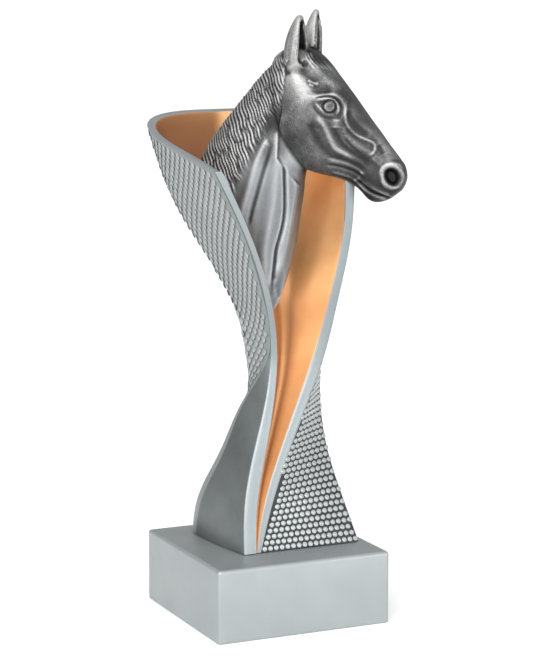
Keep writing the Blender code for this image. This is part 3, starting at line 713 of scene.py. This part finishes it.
def copper_paint():
    """Brushed copper, with painted shade beside the left band, in the channel's valley and deep in the
    cup, and painted light that makes it paler toward the top.
    """
    m = Nodes("copper")
    m.set(Metallic=COPPER_METALLIC)
    flakes = m.noise(*FLAKES)
    clouds = m.noise(*COPPER_CLOUDS)
    # Painted shade from this attribute turns the copper brown
    copper_painted_shade = m.node("Attribute", attribute_name="copper_painted_shade").outputs["Fac"]
    low = m.ramp(clouds, *zip(COPPER_STOPS, COPPER_LOW))
    high = m.ramp(clouds, *zip(COPPER_STOPS, COPPER_HIGH))
    # Painted light: the copper grows paler from the foot toward the top
    height = m.node("SeparateXYZ", {"Vector": m.place}).outputs["Z"]
    risen = m.node("MapRange", {"Value": height, "From Min": COPPER_PAINTED_LIGHT_HEIGHTS[0],
                                "From Max": COPPER_PAINTED_LIGHT_HEIGHTS[1]}).outputs["Result"]
    bright = m.node("Mix", {"Factor": risen, "A": low, "B": high}, data_type="RGBA").outputs["Result"]
    brown = m.ramp(flakes, *zip(COPPER_STOPS, COPPER_PAINTED_SHADE))
    colour = m.node("Mix", {"Factor": copper_painted_shade, "A": bright, "B": brown}, data_type="RGBA")
    m.drive("Base Color", colour.outputs["Result"])
    m.drive("Roughness", m.spread(flakes, *COPPER_ROUGHNESS))
    m.bump(flakes, FLAKE_HEIGHT, 0.5)
    return m.material


def pewter():
    """Antique pewter: black in the hollows, brushed bright on the ridges, with painted highlights and
    painted shade on the head and ears, silver on the chest.
    """
    m = Nodes("antique pewter")
    m.set(Metallic=PEWTER_METALLIC)
    relief = m.node("Attribute", attribute_name="relief").outputs["Fac"]
    chest = m.node("Attribute", attribute_name="chest").outputs["Fac"]
    stain = m.spread(m.noise(*STAINS), -STAIN_SHIFT, STAIN_SHIFT)
    speck = m.noise(*SPECKS)
    mottle = m.node("Math", {0: stain, 1: m.spread(speck, -SPECK_SHIFT, SPECK_SHIFT)},
                    operation="ADD").outputs["Value"]
    clean = m.node("MapRange", {"Value": chest, "To Min": 1.0, "To Max": CHEST_MOTTLE}).outputs["Result"]
    mottle = m.node("Math", {0: mottle, 1: clean}, operation="MULTIPLY").outputs["Value"]
    total = m.node("Math", {0: relief, 1: mottle}, operation="ADD").outputs["Value"]
    dark = m.ramp(total, *zip(PEWTER_STAGES, PEWTER_HEAD))
    pale = m.ramp(total, *zip(PEWTER_STAGES, PEWTER_CHEST))
    colour = m.node("Mix", {"Factor": chest, "A": dark, "B": pale}, data_type="RGBA")
    m.drive("Base Color", colour.outputs["Result"])
    m.drive("Roughness", m.spread(speck, *PEWTER_ROUGHNESS))
    m.bump(speck, SPECK_HEIGHT, 0.6)
    return m.material


# Pieces


def make_plinth():
    """Square block with softened edges and a shallow raised seat under the column."""
    shape = bmesh.new()
    bmesh.ops.create_cube(shape, size=1.0)
    side = plinth_high.x - plinth_low.x
    bmesh.ops.scale(shape, vec=(side, side, PLINTH_TOP), verts=shape.verts)
    bmesh.ops.translate(shape, vec=(0, 0, PLINTH_TOP / 2), verts=shape.verts)
    edges = [e for e in shape.edges if max(v.co.z for v in e.verts) > PLINTH_TOP / 2]
    bmesh.ops.bevel(shape, geom=edges, offset=PLINTH_EDGE, segments=PLINTH_EDGE_STEPS, profile=0.5,
                    affect="EDGES", material=-1)
    top = max(shape.faces, key=lambda f: f.normal.z * f.calc_area())
    foot, _ = outer_path(0.0)
    seat_low = foot.min(axis=0) * MM - SEAT_MARGIN
    seat_high = foot.max(axis=0) * MM + SEAT_MARGIN
    for lift in (0.0, 0.0, SEAT_RISE):
        bmesh.ops.inset_individual(shape, faces=[top], thickness=SEAT_EDGE)
        if lift:
            middle = top.calc_center_median()
            for v in top.verts:
                v.co.x = seat_low[0] if v.co.x < middle.x else seat_high[0]
                v.co.y = seat_low[1] if v.co.y < middle.y else seat_high[1]
                v.co.z = PLINTH_TOP + lift
    low_edges = [e for e in shape.edges if max(v.co.z for v in e.verts) < PLINTH_EDGE]
    bmesh.ops.bevel(shape, geom=low_edges, offset=SEAT_EDGE, segments=SEAT_EDGE_STEPS, profile=0.5,
                    affect="EDGES", material=-1)
    return add_piece("plinth_body", shape, paint("plinth"), sharp_angle=radians(30))


def make_column():
    """The twisted column's closed wall, its rim rounded, with a finish on each face."""
    shape = bmesh.new()
    rings = []
    for level in np.linspace(0, 1, COLUMN_RINGS):
        plan, sides, front = column_section(level)
        height = height_at(level, plan, front)
        rings.append(np.column_stack((plan, height)))
    last = rings.pop()
    middle = (last + last[::-1]) / 2
    for inset, drop in RIM_ROUNDING:
        across = middle - last
        length = np.linalg.norm(across, axis=1)[:, None]
        share = np.minimum(inset / np.maximum(length, 1e-6), 0.8)
        ring = last + across * share
        ring[:, 2] -= drop
        rings.append(ring)
    finishes = [COLUMN_FINISHES.index(side) for side in sides]
    first, ring = loft(shape, [column_place(r) for r in rings], finishes)
    for end in (first, ring):
        half = len(end) // 2
        for i in range(half - 1):
            quad = (end[i], end[i + 1], end[-2 - i], end[-1 - i])
            bmesh.ops.contextual_create(shape, geom=list(quad))
    bmesh.ops.recalc_face_normals(shape, faces=shape.faces)
    materials = [paint(finish) for finish in COLUMN_FINISHES[:-1]] + [copper_paint()]
    column = add_piece("column_shell", shape, *materials, sharp_angle=radians(50))
    # The copper's painted shade, kept as an attribute
    add_attribute(column.data, "copper_painted_shade", painted_shade_of(vertex_array(column.data, "co")))
    return column


def painted_shade_of(places):
    """How much painted shade darkens the copper: beside the left band, in the channel's valley and low in
    the cup.
    """
    levels = (places[:, 2] - COLUMN_FOOT[2]) / MM / COLUMN_HEIGHT
    ends = np.array([outer_path(level)[0][[0, -1]] for level in PAINTED_SHADE_LEVELS])
    left_x = np.interp(levels, PAINTED_SHADE_LEVELS, ends[:, 0, 0]) + np.interp(levels, LEVELS, LEFT_BAND)
    left_y = np.interp(levels, PAINTED_SHADE_LEVELS, ends[:, 0, 1])
    right_x = np.interp(levels, PAINTED_SHADE_LEVELS, ends[:, 1, 0]) - np.interp(levels, LEVELS, RIGHT_BAND)
    across = places[:, 0] / MM - left_x - PAINTED_SHADE_SLANT * (places[:, 1] / MM - left_y)
    across = across / np.maximum(right_x - left_x, 1.0)
    near_wall = PAINTED_SHADE_WALL_STRENGTH * (1 - ease((across - PAINTED_SHADE_WALL[0]) / PAINTED_SHADE_WALL[1]))
    valley = PAINTED_SHADE_VALLEY_STRENGTH * bump(across - PAINTED_SHADE_VALLEY[0], PAINTED_SHADE_VALLEY[1])
    in_cup = ease((levels - CUP_START) / CUP_PAINTED_SHADE_RISE)
    far_left = ease((CUP_PAINTED_SHADE_LEFT[0] - places[:, 0] / MM) / CUP_PAINTED_SHADE_LEFT[1])
    depth = ease((CUP_PAINTED_SHADE_TOP[0] - levels) / CUP_PAINTED_SHADE_TOP[1])
    return np.clip((near_wall + valley) * (1 - in_cup) + in_cup * far_left * (1 + depth) / 2, 0, 1)


def face_points(face, level):
    """World points across one face of the column at a level, away from its corners."""
    plan, names = outer_path(level)
    chosen = [i for i, name in enumerate(names) if name == face]
    line = plan[chosen[0]:chosen[-1] + 2]
    front = plan[0][1]
    return column_place(np.column_stack((line, height_at(level, line, front))))


def hex_places(face, pitches, row_pitch, low, high, margins):
    """Frames on a face in rows as in a honeycomb; pitches and the two margins are given at levels."""
    levels = np.linspace(low, high, GRID_ROWS)
    grid = np.array([face_points(face, level) for level in levels])
    rises = grid[:, grid.shape[1] // 2, 2]
    anchor = grid[0, grid.shape[1] // 2]
    frames = []
    half_turn = 1
    for rise in np.arange(rises[0] + row_pitch * MM / 2, rises[-1], row_pitch * MM):
        at = float(np.interp(rise, rises, np.arange(GRID_ROWS)))
        j = min(int(at), GRID_ROWS - 2)
        line = grid[j] + (grid[j + 1] - grid[j]) * (at - j)
        level = low + (high - low) * at / GRID_ROWS
        step = float(np.interp(level, *zip(*pitches))) * MM
        length = np.linalg.norm(np.diff(line, axis=0), axis=1).sum()
        tries = np.linspace(0, 1, LINE_TRIES)
        spots = np.array([line_at(line, share) for share in tries])
        nearest = tries[np.argmin(np.linalg.norm(spots - anchor, axis=1))] * length
        start = (nearest + half_turn * step / 2) % step
        half_turn = -half_turn
        first, last = [float(np.interp(level, *zip(*margin))) * MM for margin in margins]
        places = [place for place in np.arange(start, length, step) if first < place < length - last]
        for place in places:
            share = place / length
            reach = step / length / 4
            above = line_at(grid[min(j + GRID_REACH, GRID_ROWS - 1)], share)
            below = line_at(grid[max(j - GRID_REACH, 0)], share)
            across = unit(line_at(line, share + reach) - line_at(line, share - reach))
            outward = unit(np.cross(above - below, across))
            frames.append((line_at(line, share), outward, across, step / (pitches[0][1] * MM)))
        if places:
            anchor = line_at(line, min(places, key=lambda p: abs(p - length / 2)) / length)
    return frames


def line_at(line, share):
    """The point at a share of a line's length."""
    walk = np.concatenate(((0.0,), np.cumsum(np.linalg.norm(np.diff(line, axis=0), axis=1))))
    return np.array([np.interp(share * walk[-1], walk, line[:, axis]) for axis in range(3)])


def scatter(name, button, frames, paints, lean=0.0):
    """Copies of one small shape set on the frames, all in one piece."""
    template = bpy.data.meshes.new(name + " one")
    button.to_mesh(template)
    button.free()
    shape = bmesh.new()
    for spot, outward, across, stretch in frames:
        other = np.cross(outward, across)
        turn = Matrix(np.column_stack((across * stretch, other, outward)).tolist()).to_4x4()
        place = Matrix.Translation(Vector(spot)) @ turn @ Matrix.Rotation(lean, 4, Vector((1, 1, 0)))
        copy = template.copy()
        copy.transform(place)
        shape.from_mesh(copy)
        bpy.data.meshes.remove(copy)
    bpy.data.meshes.remove(template)
    return add_piece(name, shape, *[paint(each) for each in paints], sharp_angle=radians(50))


def low_cone(radius, taper, height, sides):
    """A flat round button that is sunk a little into its face, and the edges of its top."""
    shape = bmesh.new()
    depth = (height + RELIEF_SINK) * MM
    bmesh.ops.create_cone(shape, segments=sides, cap_ends=True, radius1=radius * MM,
                          radius2=radius * MM * taper, depth=depth)
    bmesh.ops.translate(shape, vec=(0, 0, depth / 2 - RELIEF_SINK * MM), verts=shape.verts)
    return shape, [e for e in shape.edges if min(v.co.z for v in e.verts) > height * MM / 2]


def dot_button():
    """A round stud with a soft shoulder."""
    shape, rim = low_cone(DOT_RADIUS, DOT_TAPER, DOT_HEIGHT, DOT_SIDES)
    bmesh.ops.bevel(shape, geom=rim, offset=DOT_EDGE * MM, segments=2, profile=0.5,
                    affect="EDGES", material=-1)
    return shape


def scale_button():
    """A flat oval scale whose wall is painted dark as its shade."""
    shape, rim = low_cone(1.0, SCALE_TAPER, SCALE_HEIGHT, SCALE_SIDES)
    bmesh.ops.scale(shape, vec=(*SCALE_HALF, 1.0), verts=shape.verts)
    # The walls take the second paint, the painted shade
    for f in shape.faces:
        if len(f.verts) == 4:
            f.material_index = 1
    bmesh.ops.bevel(shape, geom=rim, offset=SCALE_EDGE * MM, segments=1, profile=0.5,
                    affect="EDGES", material=0)
    return shape


def make_dots():
    """Raised round studs on the right face."""
    frames = hex_places("dotted", DOT_PITCHES, DOT_ROW, 0.0, RELIEF_TOP_LEVEL, DOT_MARGINS)
    return scatter("dotted_relief", dot_button(), frames, ("stud",))


def make_scales():
    """Flat scales on the left face, tipped so that each shows a crescent of its wall, painted dark as
    shade.
    """
    frames = hex_places("scale", SCALE_PITCHES, SCALE_ROW, SCALE_FOOT_LEVEL, RELIEF_TOP_LEVEL,
                        SCALE_MARGINS)
    return scatter("scale_relief", scale_button(), frames, ("scale top", "scale wall shade"), SCALE_LEAN)


# Horse


def face_axes():
    """Directions along the face and out of it, in the horse's forward and up."""
    along = np.array((cos(FACE_SLOPE), -sin(FACE_SLOPE)))
    out = np.array((sin(FACE_SLOPE), cos(FACE_SLOPE)))
    return along, out


def from_face(along_face, above_face):
    """Forward and up of a point given along and above the face."""
    along, out = face_axes()
    start = np.array(FACE_POINT) - along * FACE_POINT_ALONG
    return start + along * along_face + out * above_face


def to_face(forward, up):
    """Along and above the face, of points given forward and up."""
    along, out = face_axes()
    start = np.array(FACE_POINT) - along * FACE_POINT_ALONG
    side_view = np.column_stack((forward, up)) - start
    return side_view @ along, side_view @ out


# The horse's foot in the column's mm, and its directions forward, to its near side and up
HORSE_START = np.array((*HORSE_FOOT, -PLINTH_DRAWN))
HORSE_AXES = np.array(((cos(HORSE_HEADING), sin(HORSE_HEADING), 0.0),
                       (sin(HORSE_HEADING), -cos(HORSE_HEADING), 0.0),
                       (0.0, 0.0, 1.0)))


def horse_place(points):
    """Points in the horse's own axes and mm as world points."""
    return column_place(HORSE_START + np.asarray(points) @ HORSE_AXES)


def horse_own(points):
    """World points in the horse's own axes and mm."""
    return ((np.asarray(points) - COLUMN_FOOT) / MM - HORSE_START) @ HORSE_AXES.T


def pulled_inside(plan, outline, margin):
    """A plan point drawn toward the outline's middle until it is the margin inside."""
    middle = outline.mean(axis=0)
    ray = plan - middle
    length = np.linalg.norm(ray)
    if length < 1e-6:
        return plan
    ray = ray / length
    side = np.roll(outline, -1, axis=0) - outline
    cross = ray[0] * side[:, 1] - ray[1] * side[:, 0]
    cross = np.where(np.abs(cross) < 1e-9, 1e-9, cross)
    offset = outline - middle
    reach = (offset[:, 0] * side[:, 1] - offset[:, 1] * side[:, 0]) / cross
    along = (offset[:, 0] * ray[1] - offset[:, 1] * ray[0]) / cross
    hit = (reach > 0) & (along >= -1e-6) & (along <= 1 + 1e-6)
    if not hit.any():
        return plan
    return middle + ray * min(length, reach[hit].min() - margin)


def held_inside(points):
    """Neck points kept inside the column's outside wherever they are lower than its rim."""
    kept = []
    for point in points:
        plan = point[:2] / MM
        height = (point[2] - COLUMN_FOOT[2]) / MM
        rises = np.array([height_at(level, plan, path[0][1]) for level, path in NECK_PATHS])
        if height < rises[-1]:
            nearest = min(int(np.searchsorted(rises, height)), len(NECK_PATHS) - 1)
            plan = pulled_inside(plan, NECK_PATHS[nearest][1], NECK_MARGIN)
            point = np.append(plan * MM, point[2])
        kept.append(point)
    return np.array(kept)


NECK_PATHS = [(level, outer_path(level)[0])
              for level in np.linspace(NECK_HELD_FROM, 1.0, NECK_HELD_LEVELS)]


def section_rows(sections):
    """Splined rows between drawn sections."""
    rows = np.array(sections)
    places = np.linspace(0, len(rows) - 1, (len(rows) - 1) * RING_STEPS + 1)
    return [spline(range(len(rows)), rows, place) for place in places]


def head_rings():
    """Rings of the head: each section a rounded shape between face and jaw."""
    rings = []
    for along, top, bottom, upper, lower in section_rows(HEAD_SECTIONS):
        ring = []
        for turn in np.linspace(0, 2 * pi, HORSE_RING, endpoint=False):
            lean = ((1 + cos(turn)) / 2) ** HEAD_TAPER
            half = upper * lean + lower * (1 - lean)
            side = half * np.sign(sin(turn)) * abs(sin(turn)) ** HEAD_FULLNESS
            above = (top + bottom) / 2 + (top - bottom) / 2 * cos(turn)
            ring.append((*from_face(along, above), side))
        rings.append(np.array(ring)[:, [0, 2, 1]])
    return rings


def neck_rings():
    """Rings of the neck from behind the ears down to the wedge in the channel."""
    rings = []
    for row in section_rows(NECK_SECTIONS):
        crest = row[0:2]
        throat = row[2:4]
        half, shift = row[4:6]
        middle = (crest + throat) / 2
        reach = (throat - crest) / 2
        ring = []
        for turn in np.linspace(0, 2 * pi, HORSE_RING, endpoint=False):
            forward, up = middle + reach * cos(turn)
            side = half * np.sign(sin(turn)) * abs(sin(turn)) ** NECK_FULLNESS
            side = side * (1 + NECK_THROAT_SHARE * cos(turn))
            ring.append((forward, side + shift, up))
        rings.append(horse_own(held_inside(horse_place(np.array(ring)))))
    return rings


def oval_point(flat, front, breadth, depth, turn):
    """A point of an ear's oval, from the ear's middle; the turn starts at the back."""
    return flat * breadth * sin(turn) - front * depth * cos(turn)


def ear_rings(root, tip, breadth, depth, facing):
    """Rings of one ear: a pointed leaf whose front is hollowed between its two edges."""
    root = np.array(root)
    tip = np.array(tip)
    axis = unit(tip - root)
    front = np.array((cos(facing), sin(facing), 0.0))
    front = unit(front - axis * (front @ axis))
    flat = np.cross(axis, front)
    rings = []
    for share in np.linspace(*EAR_SPAN, EAR_STEPS):
        width = EAR_POINT + (1 - EAR_POINT) * sin(pi * share ** EAR_BELLY) ** EAR_FULLNESS
        hollow = float(ease((share - EAR_HOLLOW[0]) / EAR_HOLLOW[1]))
        hollow = hollow * float(ease((EAR_HOLLOW_END[0] - share) / EAR_HOLLOW_END[1]))
        middle = root + (tip - root) * share
        wall = min(EAR_WALL, breadth * width * EAR_WALL_SHARE)
        half = EAR_RING // 2
        ring = []
        for turn in np.linspace(-EAR_WRAP, EAR_WRAP, half):
            ring.append(middle + oval_point(flat, front, breadth * width, depth * width, turn))
        inner_turns = np.linspace(EAR_WRAP, -EAR_WRAP, half)
        outer_turns = np.linspace(EAR_WRAP, 2 * pi - EAR_WRAP, half + 2)[1:-1]
        for bowl_turn, full_turn in zip(inner_turns, outer_turns):
            full = oval_point(flat, front, breadth * width, depth * width, full_turn)
            bowl = oval_point(flat, front, breadth * width - wall, depth * width - wall, bowl_turn)
            ring.append(middle + full * (1 - hollow) + bowl * hollow)
        rings.append(np.array(ring))
    return rings


def horse_skin():
    """Head, neck and ears, in the horse's own axes and mm, melted into one skin."""
    shape = bmesh.new()
    for rings in (head_rings(), neck_rings(), ear_rings(*EARS[0]), ear_rings(*EARS[1])):
        first, last = loft(shape, rings)
        cap(shape, first)
        cap(shape, last)
    bmesh.ops.recalc_face_normals(shape, faces=shape.faces)
    rough = add_piece("horse_form", shape)
    remesh = rough.modifiers.new("one skin", "REMESH")
    remesh.mode = "VOXEL"
    remesh.voxel_size = CARVE_VOXEL
    view = bpy.context.evaluated_depsgraph_get()
    skin = bpy.data.meshes.new_from_object(rough.evaluated_get(view))
    bpy.data.objects.remove(rough)
    keep_largest_shell(skin)
    return skin


def keep_largest_shell(mesh):
    """Crumbs that the melting leaves beside the main skin are deleted."""
    shape = bmesh.new()
    shape.from_mesh(mesh)
    left = set(shape.verts)
    shells = []
    while left:
        shell = []
        reached = [left.pop()]
        while reached:
            v = reached.pop()
            shell.append(v)
            near = {e.other_vert(v) for e in v.link_edges} & left
            left -= near
            reached.extend(near)
        shells.append(shell)
    largest = max(shells, key=len)
    crumbs = [v for shell in shells if shell is not largest for v in shell]
    bmesh.ops.delete(shape, geom=crumbs, context="VERTS")
    shape.to_mesh(mesh)
    shape.free()


def distance_to_line(x, y, line):
    """Distance of points to a line of straight stretches, and how far along it the nearest place is."""
    best = np.full(len(x), 1e9)
    along = np.zeros(len(x))
    for i, ((ax, ay), (bx, by)) in enumerate(zip(line, line[1:])):
        run = (bx - ax) ** 2 + (by - ay) ** 2
        share = np.clip(((x - ax) * (bx - ax) + (y - ay) * (by - ay)) / run, 0, 1)
        distance = np.hypot(x - ax - share * (bx - ax), y - ay - share * (by - ay))
        nearer = distance < best
        best = np.where(nearer, distance, best)
        along = np.where(nearer, (i + share) / (len(line) - 1), along)
    return best, along


def stroke(x, y, line, half_width, height):
    """A carved line, bell shaped across; a narrow one is tapered at its ends."""
    distance, along = distance_to_line(x, y, curved(line))
    taper = 1.0
    if half_width < STROKE_BROAD:
        taper = ease(STROKE_END + np.minimum(along, 1 - along) / STROKE_TAPER)
    return height * taper * bump(distance, half_width)


def curved(line, steps=5):
    """A line's points joined by a smooth curve."""
    line = np.array(line)
    if len(line) < 3:
        return line
    places = np.linspace(0, len(line) - 1, (len(line) - 1) * steps + 1)
    return np.array([spline(range(len(line)), line, place) for place in places])


def bump(distance, half_width):
    """Bell curve of a distance."""
    return np.exp(-(distance / half_width) ** 2)


def head_relief(along, above, side, sideways):
    """Height of the head's carving at points, where the skin faces sideways."""
    relief = np.zeros(len(along))
    for line, half_width, height in HEAD_STROKES:
        relief += stroke(along, above, line, half_width, height)
    ball = np.hypot(along - EYE[0], above - EYE[1]) / EYE_BALL
    relief += EYE_BALL_HEIGHT * np.sqrt(np.clip(1 - ball ** 2, 0, 1))
    relief -= EYE_RING * bump(ball - EYE_RING_PLACE, EYE_RING_WIDTH)
    nostril = np.hypot((along - NOSTRIL[0]) / NOSTRIL_HALF[0],
                       (above - NOSTRIL[1]) / NOSTRIL_HALF[1])
    relief -= NOSTRIL_DEPTH * ease((1.0 - nostril) * NOSTRIL_STEEPNESS)
    return relief * ease(sideways * SIDEWAYS_GAIN) * ease(np.abs(side) / MIDDLE_BLEND)


def scattered(index, seed):
    """A value from 0 to 1 for each whole number, without order."""
    return np.modf(np.abs(np.sin(index * 12.9898 + seed * 7.233) * 437.58))[0]


def mane_relief(forward, up, before_edge):
    """Height of the mane: two crossing sets of tapered strands that end unevenly near its edge."""
    height = np.full(len(forward), -1.0)
    for lean, seed in ((MANE_LEAN, 0.0), (MANE_LEAN + MANE_CROSSING, 1.0)):
        wander = np.sin(MANE_WAVE[0] * forward + MANE_WAVE[1] * up + seed)
        wander = wander + MANE_RIPPLE_SHARE * np.sin(MANE_RIPPLE[0] * forward + MANE_RIPPLE[1] * up)
        across = forward * cos(lean) + up * sin(lean) + MANE_WANDER * wander
        across = across / MANE_LOCK_PITCH + seed / 2
        along = (up * cos(lean) - forward * sin(lean)) / MANE_LOCK_LENGTH
        lock = np.floor(across)
        strand = np.modf(np.abs(along + scattered(lock, seed)))[0]
        taper = np.sqrt(np.clip(np.sin(pi * strand), 0, 1))
        kept = ease(before_edge + MANE_RAGGED * (scattered(lock, seed + 3) - 0.5))
        ridge = np.sqrt(np.abs(np.sin(pi * across))) * (1 - MANE_TAPER_SHARE * (1 - taper))
        ridge = ridge - MANE_LAYER_DROP * seed
        height = np.maximum(height, ridge * kept + MANE_GROUND * (1 - kept))
    return MANE_LOCK_HEIGHT * (2 * height - 1.0) + MANE_EDGE


def before_mane(forward, up):
    """How far points lie in front of the mane's edge."""
    line = np.array(MANE_LINE)[::-1]
    return forward - np.interp(up, line[:, 1], line[:, 0])


def neck_relief(forward, up, sideways, behind_jaw):
    """Height of the carving on the neck: folds of the throat and locks of the mane."""
    folds = np.zeros(len(forward))
    for line, half_width, height in NECK_STROKES:
        folds += stroke(forward, up, line, half_width, height)
    inward = -before_mane(forward, up) / MANE_FADE
    in_mane = ease(inward + MANE_FADE_START) * ease((MANE_TOP - up) / MANE_TOP_BLEND + 0.5)
    locks = mane_relief(forward, up, inward + LOCK_FADE_START)
    return (folds * ease(sideways * SIDEWAYS_GAIN) * (1 - in_mane) + locks * in_mane) * behind_jaw


def vertex_array(mesh, name):
    values = np.empty(len(mesh.vertices) * 3)
    mesh.vertices.foreach_get(name, values)
    return values.reshape(-1, 3)


def smoothed(mesh, values, rounds):
    """Values at the points averaged with their neighbours some rounds over."""
    edges = np.empty(len(mesh.edges) * 2, int)
    mesh.edges.foreach_get("vertices", edges)
    edges = edges.reshape(-1, 2)
    count = np.bincount(edges.ravel(), minlength=len(mesh.vertices)).astype(float)
    for _ in range(rounds):
        total = np.zeros_like(values)
        for axis in range(values.shape[1]):
            total[:, axis] = (np.bincount(edges[:, 0], values[edges[:, 1], axis], len(values))
                              + np.bincount(edges[:, 1], values[edges[:, 0], axis], len(values)))
        values = total / count[:, None]
    return values


def carve(skin):
    """Push each point of the skin along its normal by the relief there; gives where the points were."""
    place = vertex_array(skin, "co")
    place = smoothed(skin, place, CARVE_SMOOTHING)
    normal = smoothed(skin, vertex_array(skin, "normal"), CARVE_SMOOTHING)
    normal = normal / np.linalg.norm(normal, axis=1)[:, None]
    forward, side, up = place.T
    along, above = to_face(forward, up)
    sideways = np.abs(normal[:, 1])
    jaw = np.array(JAW_LINE)
    jaw_depth = np.interp(along, jaw[:, 0], jaw[:, 1])
    behind_jaw = ease((jaw_depth - above) / JAW_BLEND)
    on_ears = ease((above - EAR_CLEARANCE) / EAR_CLEARANCE) * ease((EAR_END - along) / 2)
    relief = head_relief(along, above, side, sideways) * (1 - behind_jaw) * (1 - on_ears)
    relief += neck_relief(forward, up, sideways, behind_jaw)
    place = place + normal * relief[:, None]
    skin.vertices.foreach_set("co", place.ravel())
    skin.update()
    return forward, side, up


def add_attribute(mesh, name, values):
    layer = mesh.attributes.new(name, "FLOAT", "POINT")
    layer.data.foreach_set("value", values.astype(np.float32))


def make_horse():
    """The horse's neck and head as one carved piece with its ridges and hollows marked, and painted
    highlights and shade added on the head and ears.
    """
    skin = horse_skin()
    forward, side, up = carve(skin)
    place = vertex_array(skin, "co")
    normal = vertex_array(skin, "normal")
    fine = np.einsum("ij,ij->i", place - smoothed(skin, place, FINE_ROUNDS), normal)
    broad = np.einsum("ij,ij->i", place - smoothed(skin, place, BROAD_ROUNDS), normal)
    relief = 0.5 + FINE_SHADE * np.clip(fine, -FINE_REACH, FINE_REACH) + BROAD_SHADE * broad
    # Painted shade on the ears' forward side, painted light on their backs
    ear = ease((up - EAR_START[0]) / EAR_START[1])
    ear_back_painted_light = np.where(side > 0, *EAR_BACK_PAINTED_LIGHT)
    relief += ear * np.where(normal[:, 0] > EAR_FRONT_FACING, EAR_FRONT_PAINTED_SHADE, ear_back_painted_light)
    along, above = to_face(forward, up)
    # Painted highlights and painted shade at places on the head
    for spot, reach, shade in HEAD_PAINTED_LIGHT_AND_SHADE:
        relief += shade * bump(np.hypot(along - spot[0], above - spot[1]), reach)
    chest = ease((CHEST_TOP[0] - up) / CHEST_TOP[1]) * ease((CHEST_FRONT[0] - forward) / CHEST_FRONT[1])
    chest *= ease(before_mane(forward, up) / CHEST_FROM_MANE + CHEST_FROM_MANE_START)
    skin.vertices.foreach_set("co", horse_place(place).ravel())
    skin.update()
    # The relief attribute holds the carving's patina together with the painted light and shade
    add_attribute(skin, "relief", np.clip(relief, 0.0, RELIEF_TOP))
    add_attribute(skin, "chest", chest)
    skin.name = "horse"
    skin.shade_smooth()
    skin.materials.clear()
    skin.materials.append(pewter())
    horse = bpy.data.objects.new("horse", skin)
    bpy.context.scene.collection.objects.link(horse)
    return horse


# Studio


CAMERA_PLACE = (-0.31115, -0.68280, 0.21719)
CAMERA_TURN = radians(24.732)
CAMERA_DROP = radians(8.902)
CAMERA_LENS = 144.0
CAMERA_SENSOR = 36.0
CAMERA_RANGE = (0.01, 1000.0)
FLOOR_SIZE = 200.0
FLOOR_DROP = 0.0001
SKY_BRIGHT_SIDE = (-0.25, -0.85, 0.46)
SKY_DARK = 0.25
SKY_BRIGHT = 1.35
SUN_FROM = (-0.45, -0.80, 0.62)
SUN_ANGLE = radians(35)
SUN_STRENGTH = 1.6
LAMP_TARGET = (0.0, 0.0, 0.12)
# Lamps: place, size and power
LAMPS = (
    ("left lamp", (-0.95, -0.45, 0.35), (0.30, 0.7), 4.5),
    ("front lamp", (-0.10, -1.20, 0.30), (0.4, 0.5), 3.2),
    ("right lamp", (0.75, -1.00, 0.17), (0.3, 0.4), 2.6),
)


def make_camera():
    """The camera at the photograph's angle."""
    data = bpy.data.cameras.new("camera")
    data.lens = CAMERA_LENS
    data.sensor_width = CAMERA_SENSOR
    data.sensor_fit = "HORIZONTAL"
    data.clip_start, data.clip_end = CAMERA_RANGE
    camera = bpy.data.objects.new("camera", data)
    camera.location = CAMERA_PLACE
    look = Vector((sin(CAMERA_TURN) * cos(CAMERA_DROP), cos(CAMERA_TURN) * cos(CAMERA_DROP),
                   -sin(CAMERA_DROP)))
    camera.rotation_euler = look.to_track_quat("-Z", "Y").to_euler()
    bpy.context.scene.collection.objects.link(camera)
    bpy.context.scene.camera = camera


def add_light(name, kind, power, place, target):
    """A lamp at a place, aimed at a point."""
    data = bpy.data.lights.new(name, kind)
    data.energy = power
    lamp = bpy.data.objects.new(name, data)
    lamp.location = place
    lamp.rotation_euler = (Vector(target) - Vector(place)).to_track_quat("-Z", "Y").to_euler()
    bpy.context.scene.collection.objects.link(lamp)
    return data


def make_studio():
    """Pale floor, pale surroundings, soft lamps and a soft sun."""
    shape = bmesh.new()
    bmesh.ops.create_grid(shape, x_segments=1, y_segments=1, size=FLOOR_SIZE)
    floor_paint = Nodes("floor")
    floor_paint.set(Base_Color=(0.93, 0.93, 0.93, 1.0), Roughness=0.9)
    floor = add_piece("floor", shape, floor_paint.material)
    floor.location.z = -FLOOR_DROP
    world = bpy.context.scene.world or bpy.data.worlds.new("world")
    bpy.context.scene.world = world
    world.use_nodes = True
    tree = world.node_tree
    sky_place = tree.nodes.new("ShaderNodeTexCoord").outputs["Generated"]
    toward = tree.nodes.new("ShaderNodeVectorMath")
    toward.operation = "DOT_PRODUCT"
    toward.inputs[1].default_value = SKY_BRIGHT_SIDE
    tree.links.new(sky_place, toward.inputs[0])
    share = tree.nodes.new("ShaderNodeMapRange")
    share.inputs["From Min"].default_value = -1.0
    share.inputs["To Min"].default_value = SKY_DARK
    share.inputs["To Max"].default_value = SKY_BRIGHT
    tree.links.new(toward.outputs["Value"], share.inputs["Value"])
    tree.links.new(share.outputs["Result"], tree.nodes["Background"].inputs["Strength"])
    tree.nodes["Background"].inputs["Color"].default_value = (1.0, 1.0, 1.0, 1.0)
    for name, place, size, power in LAMPS:
        lamp = add_light(name, "AREA", power, place, LAMP_TARGET)
        lamp.shape = "RECTANGLE"
        lamp.size, lamp.size_y = size
    add_light("sun", "SUN", SUN_STRENGTH, SUN_FROM, (0.0, 0.0, 0.0)).angle = SUN_ANGLE


def dress(piece, node):
    """A piece rides on the part's one body and stands for a node."""
    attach(piece, "root")
    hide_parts(node)


dress(make_plinth(), "plinth")
dress(make_column(), "horse_column")
dress(make_dots(), "horse_column")
dress(make_scales(), "horse_column")
dress(make_horse(), "horse_column")
make_camera()
make_studio()
bpy.context.scene.view_settings.view_transform = "Standard"
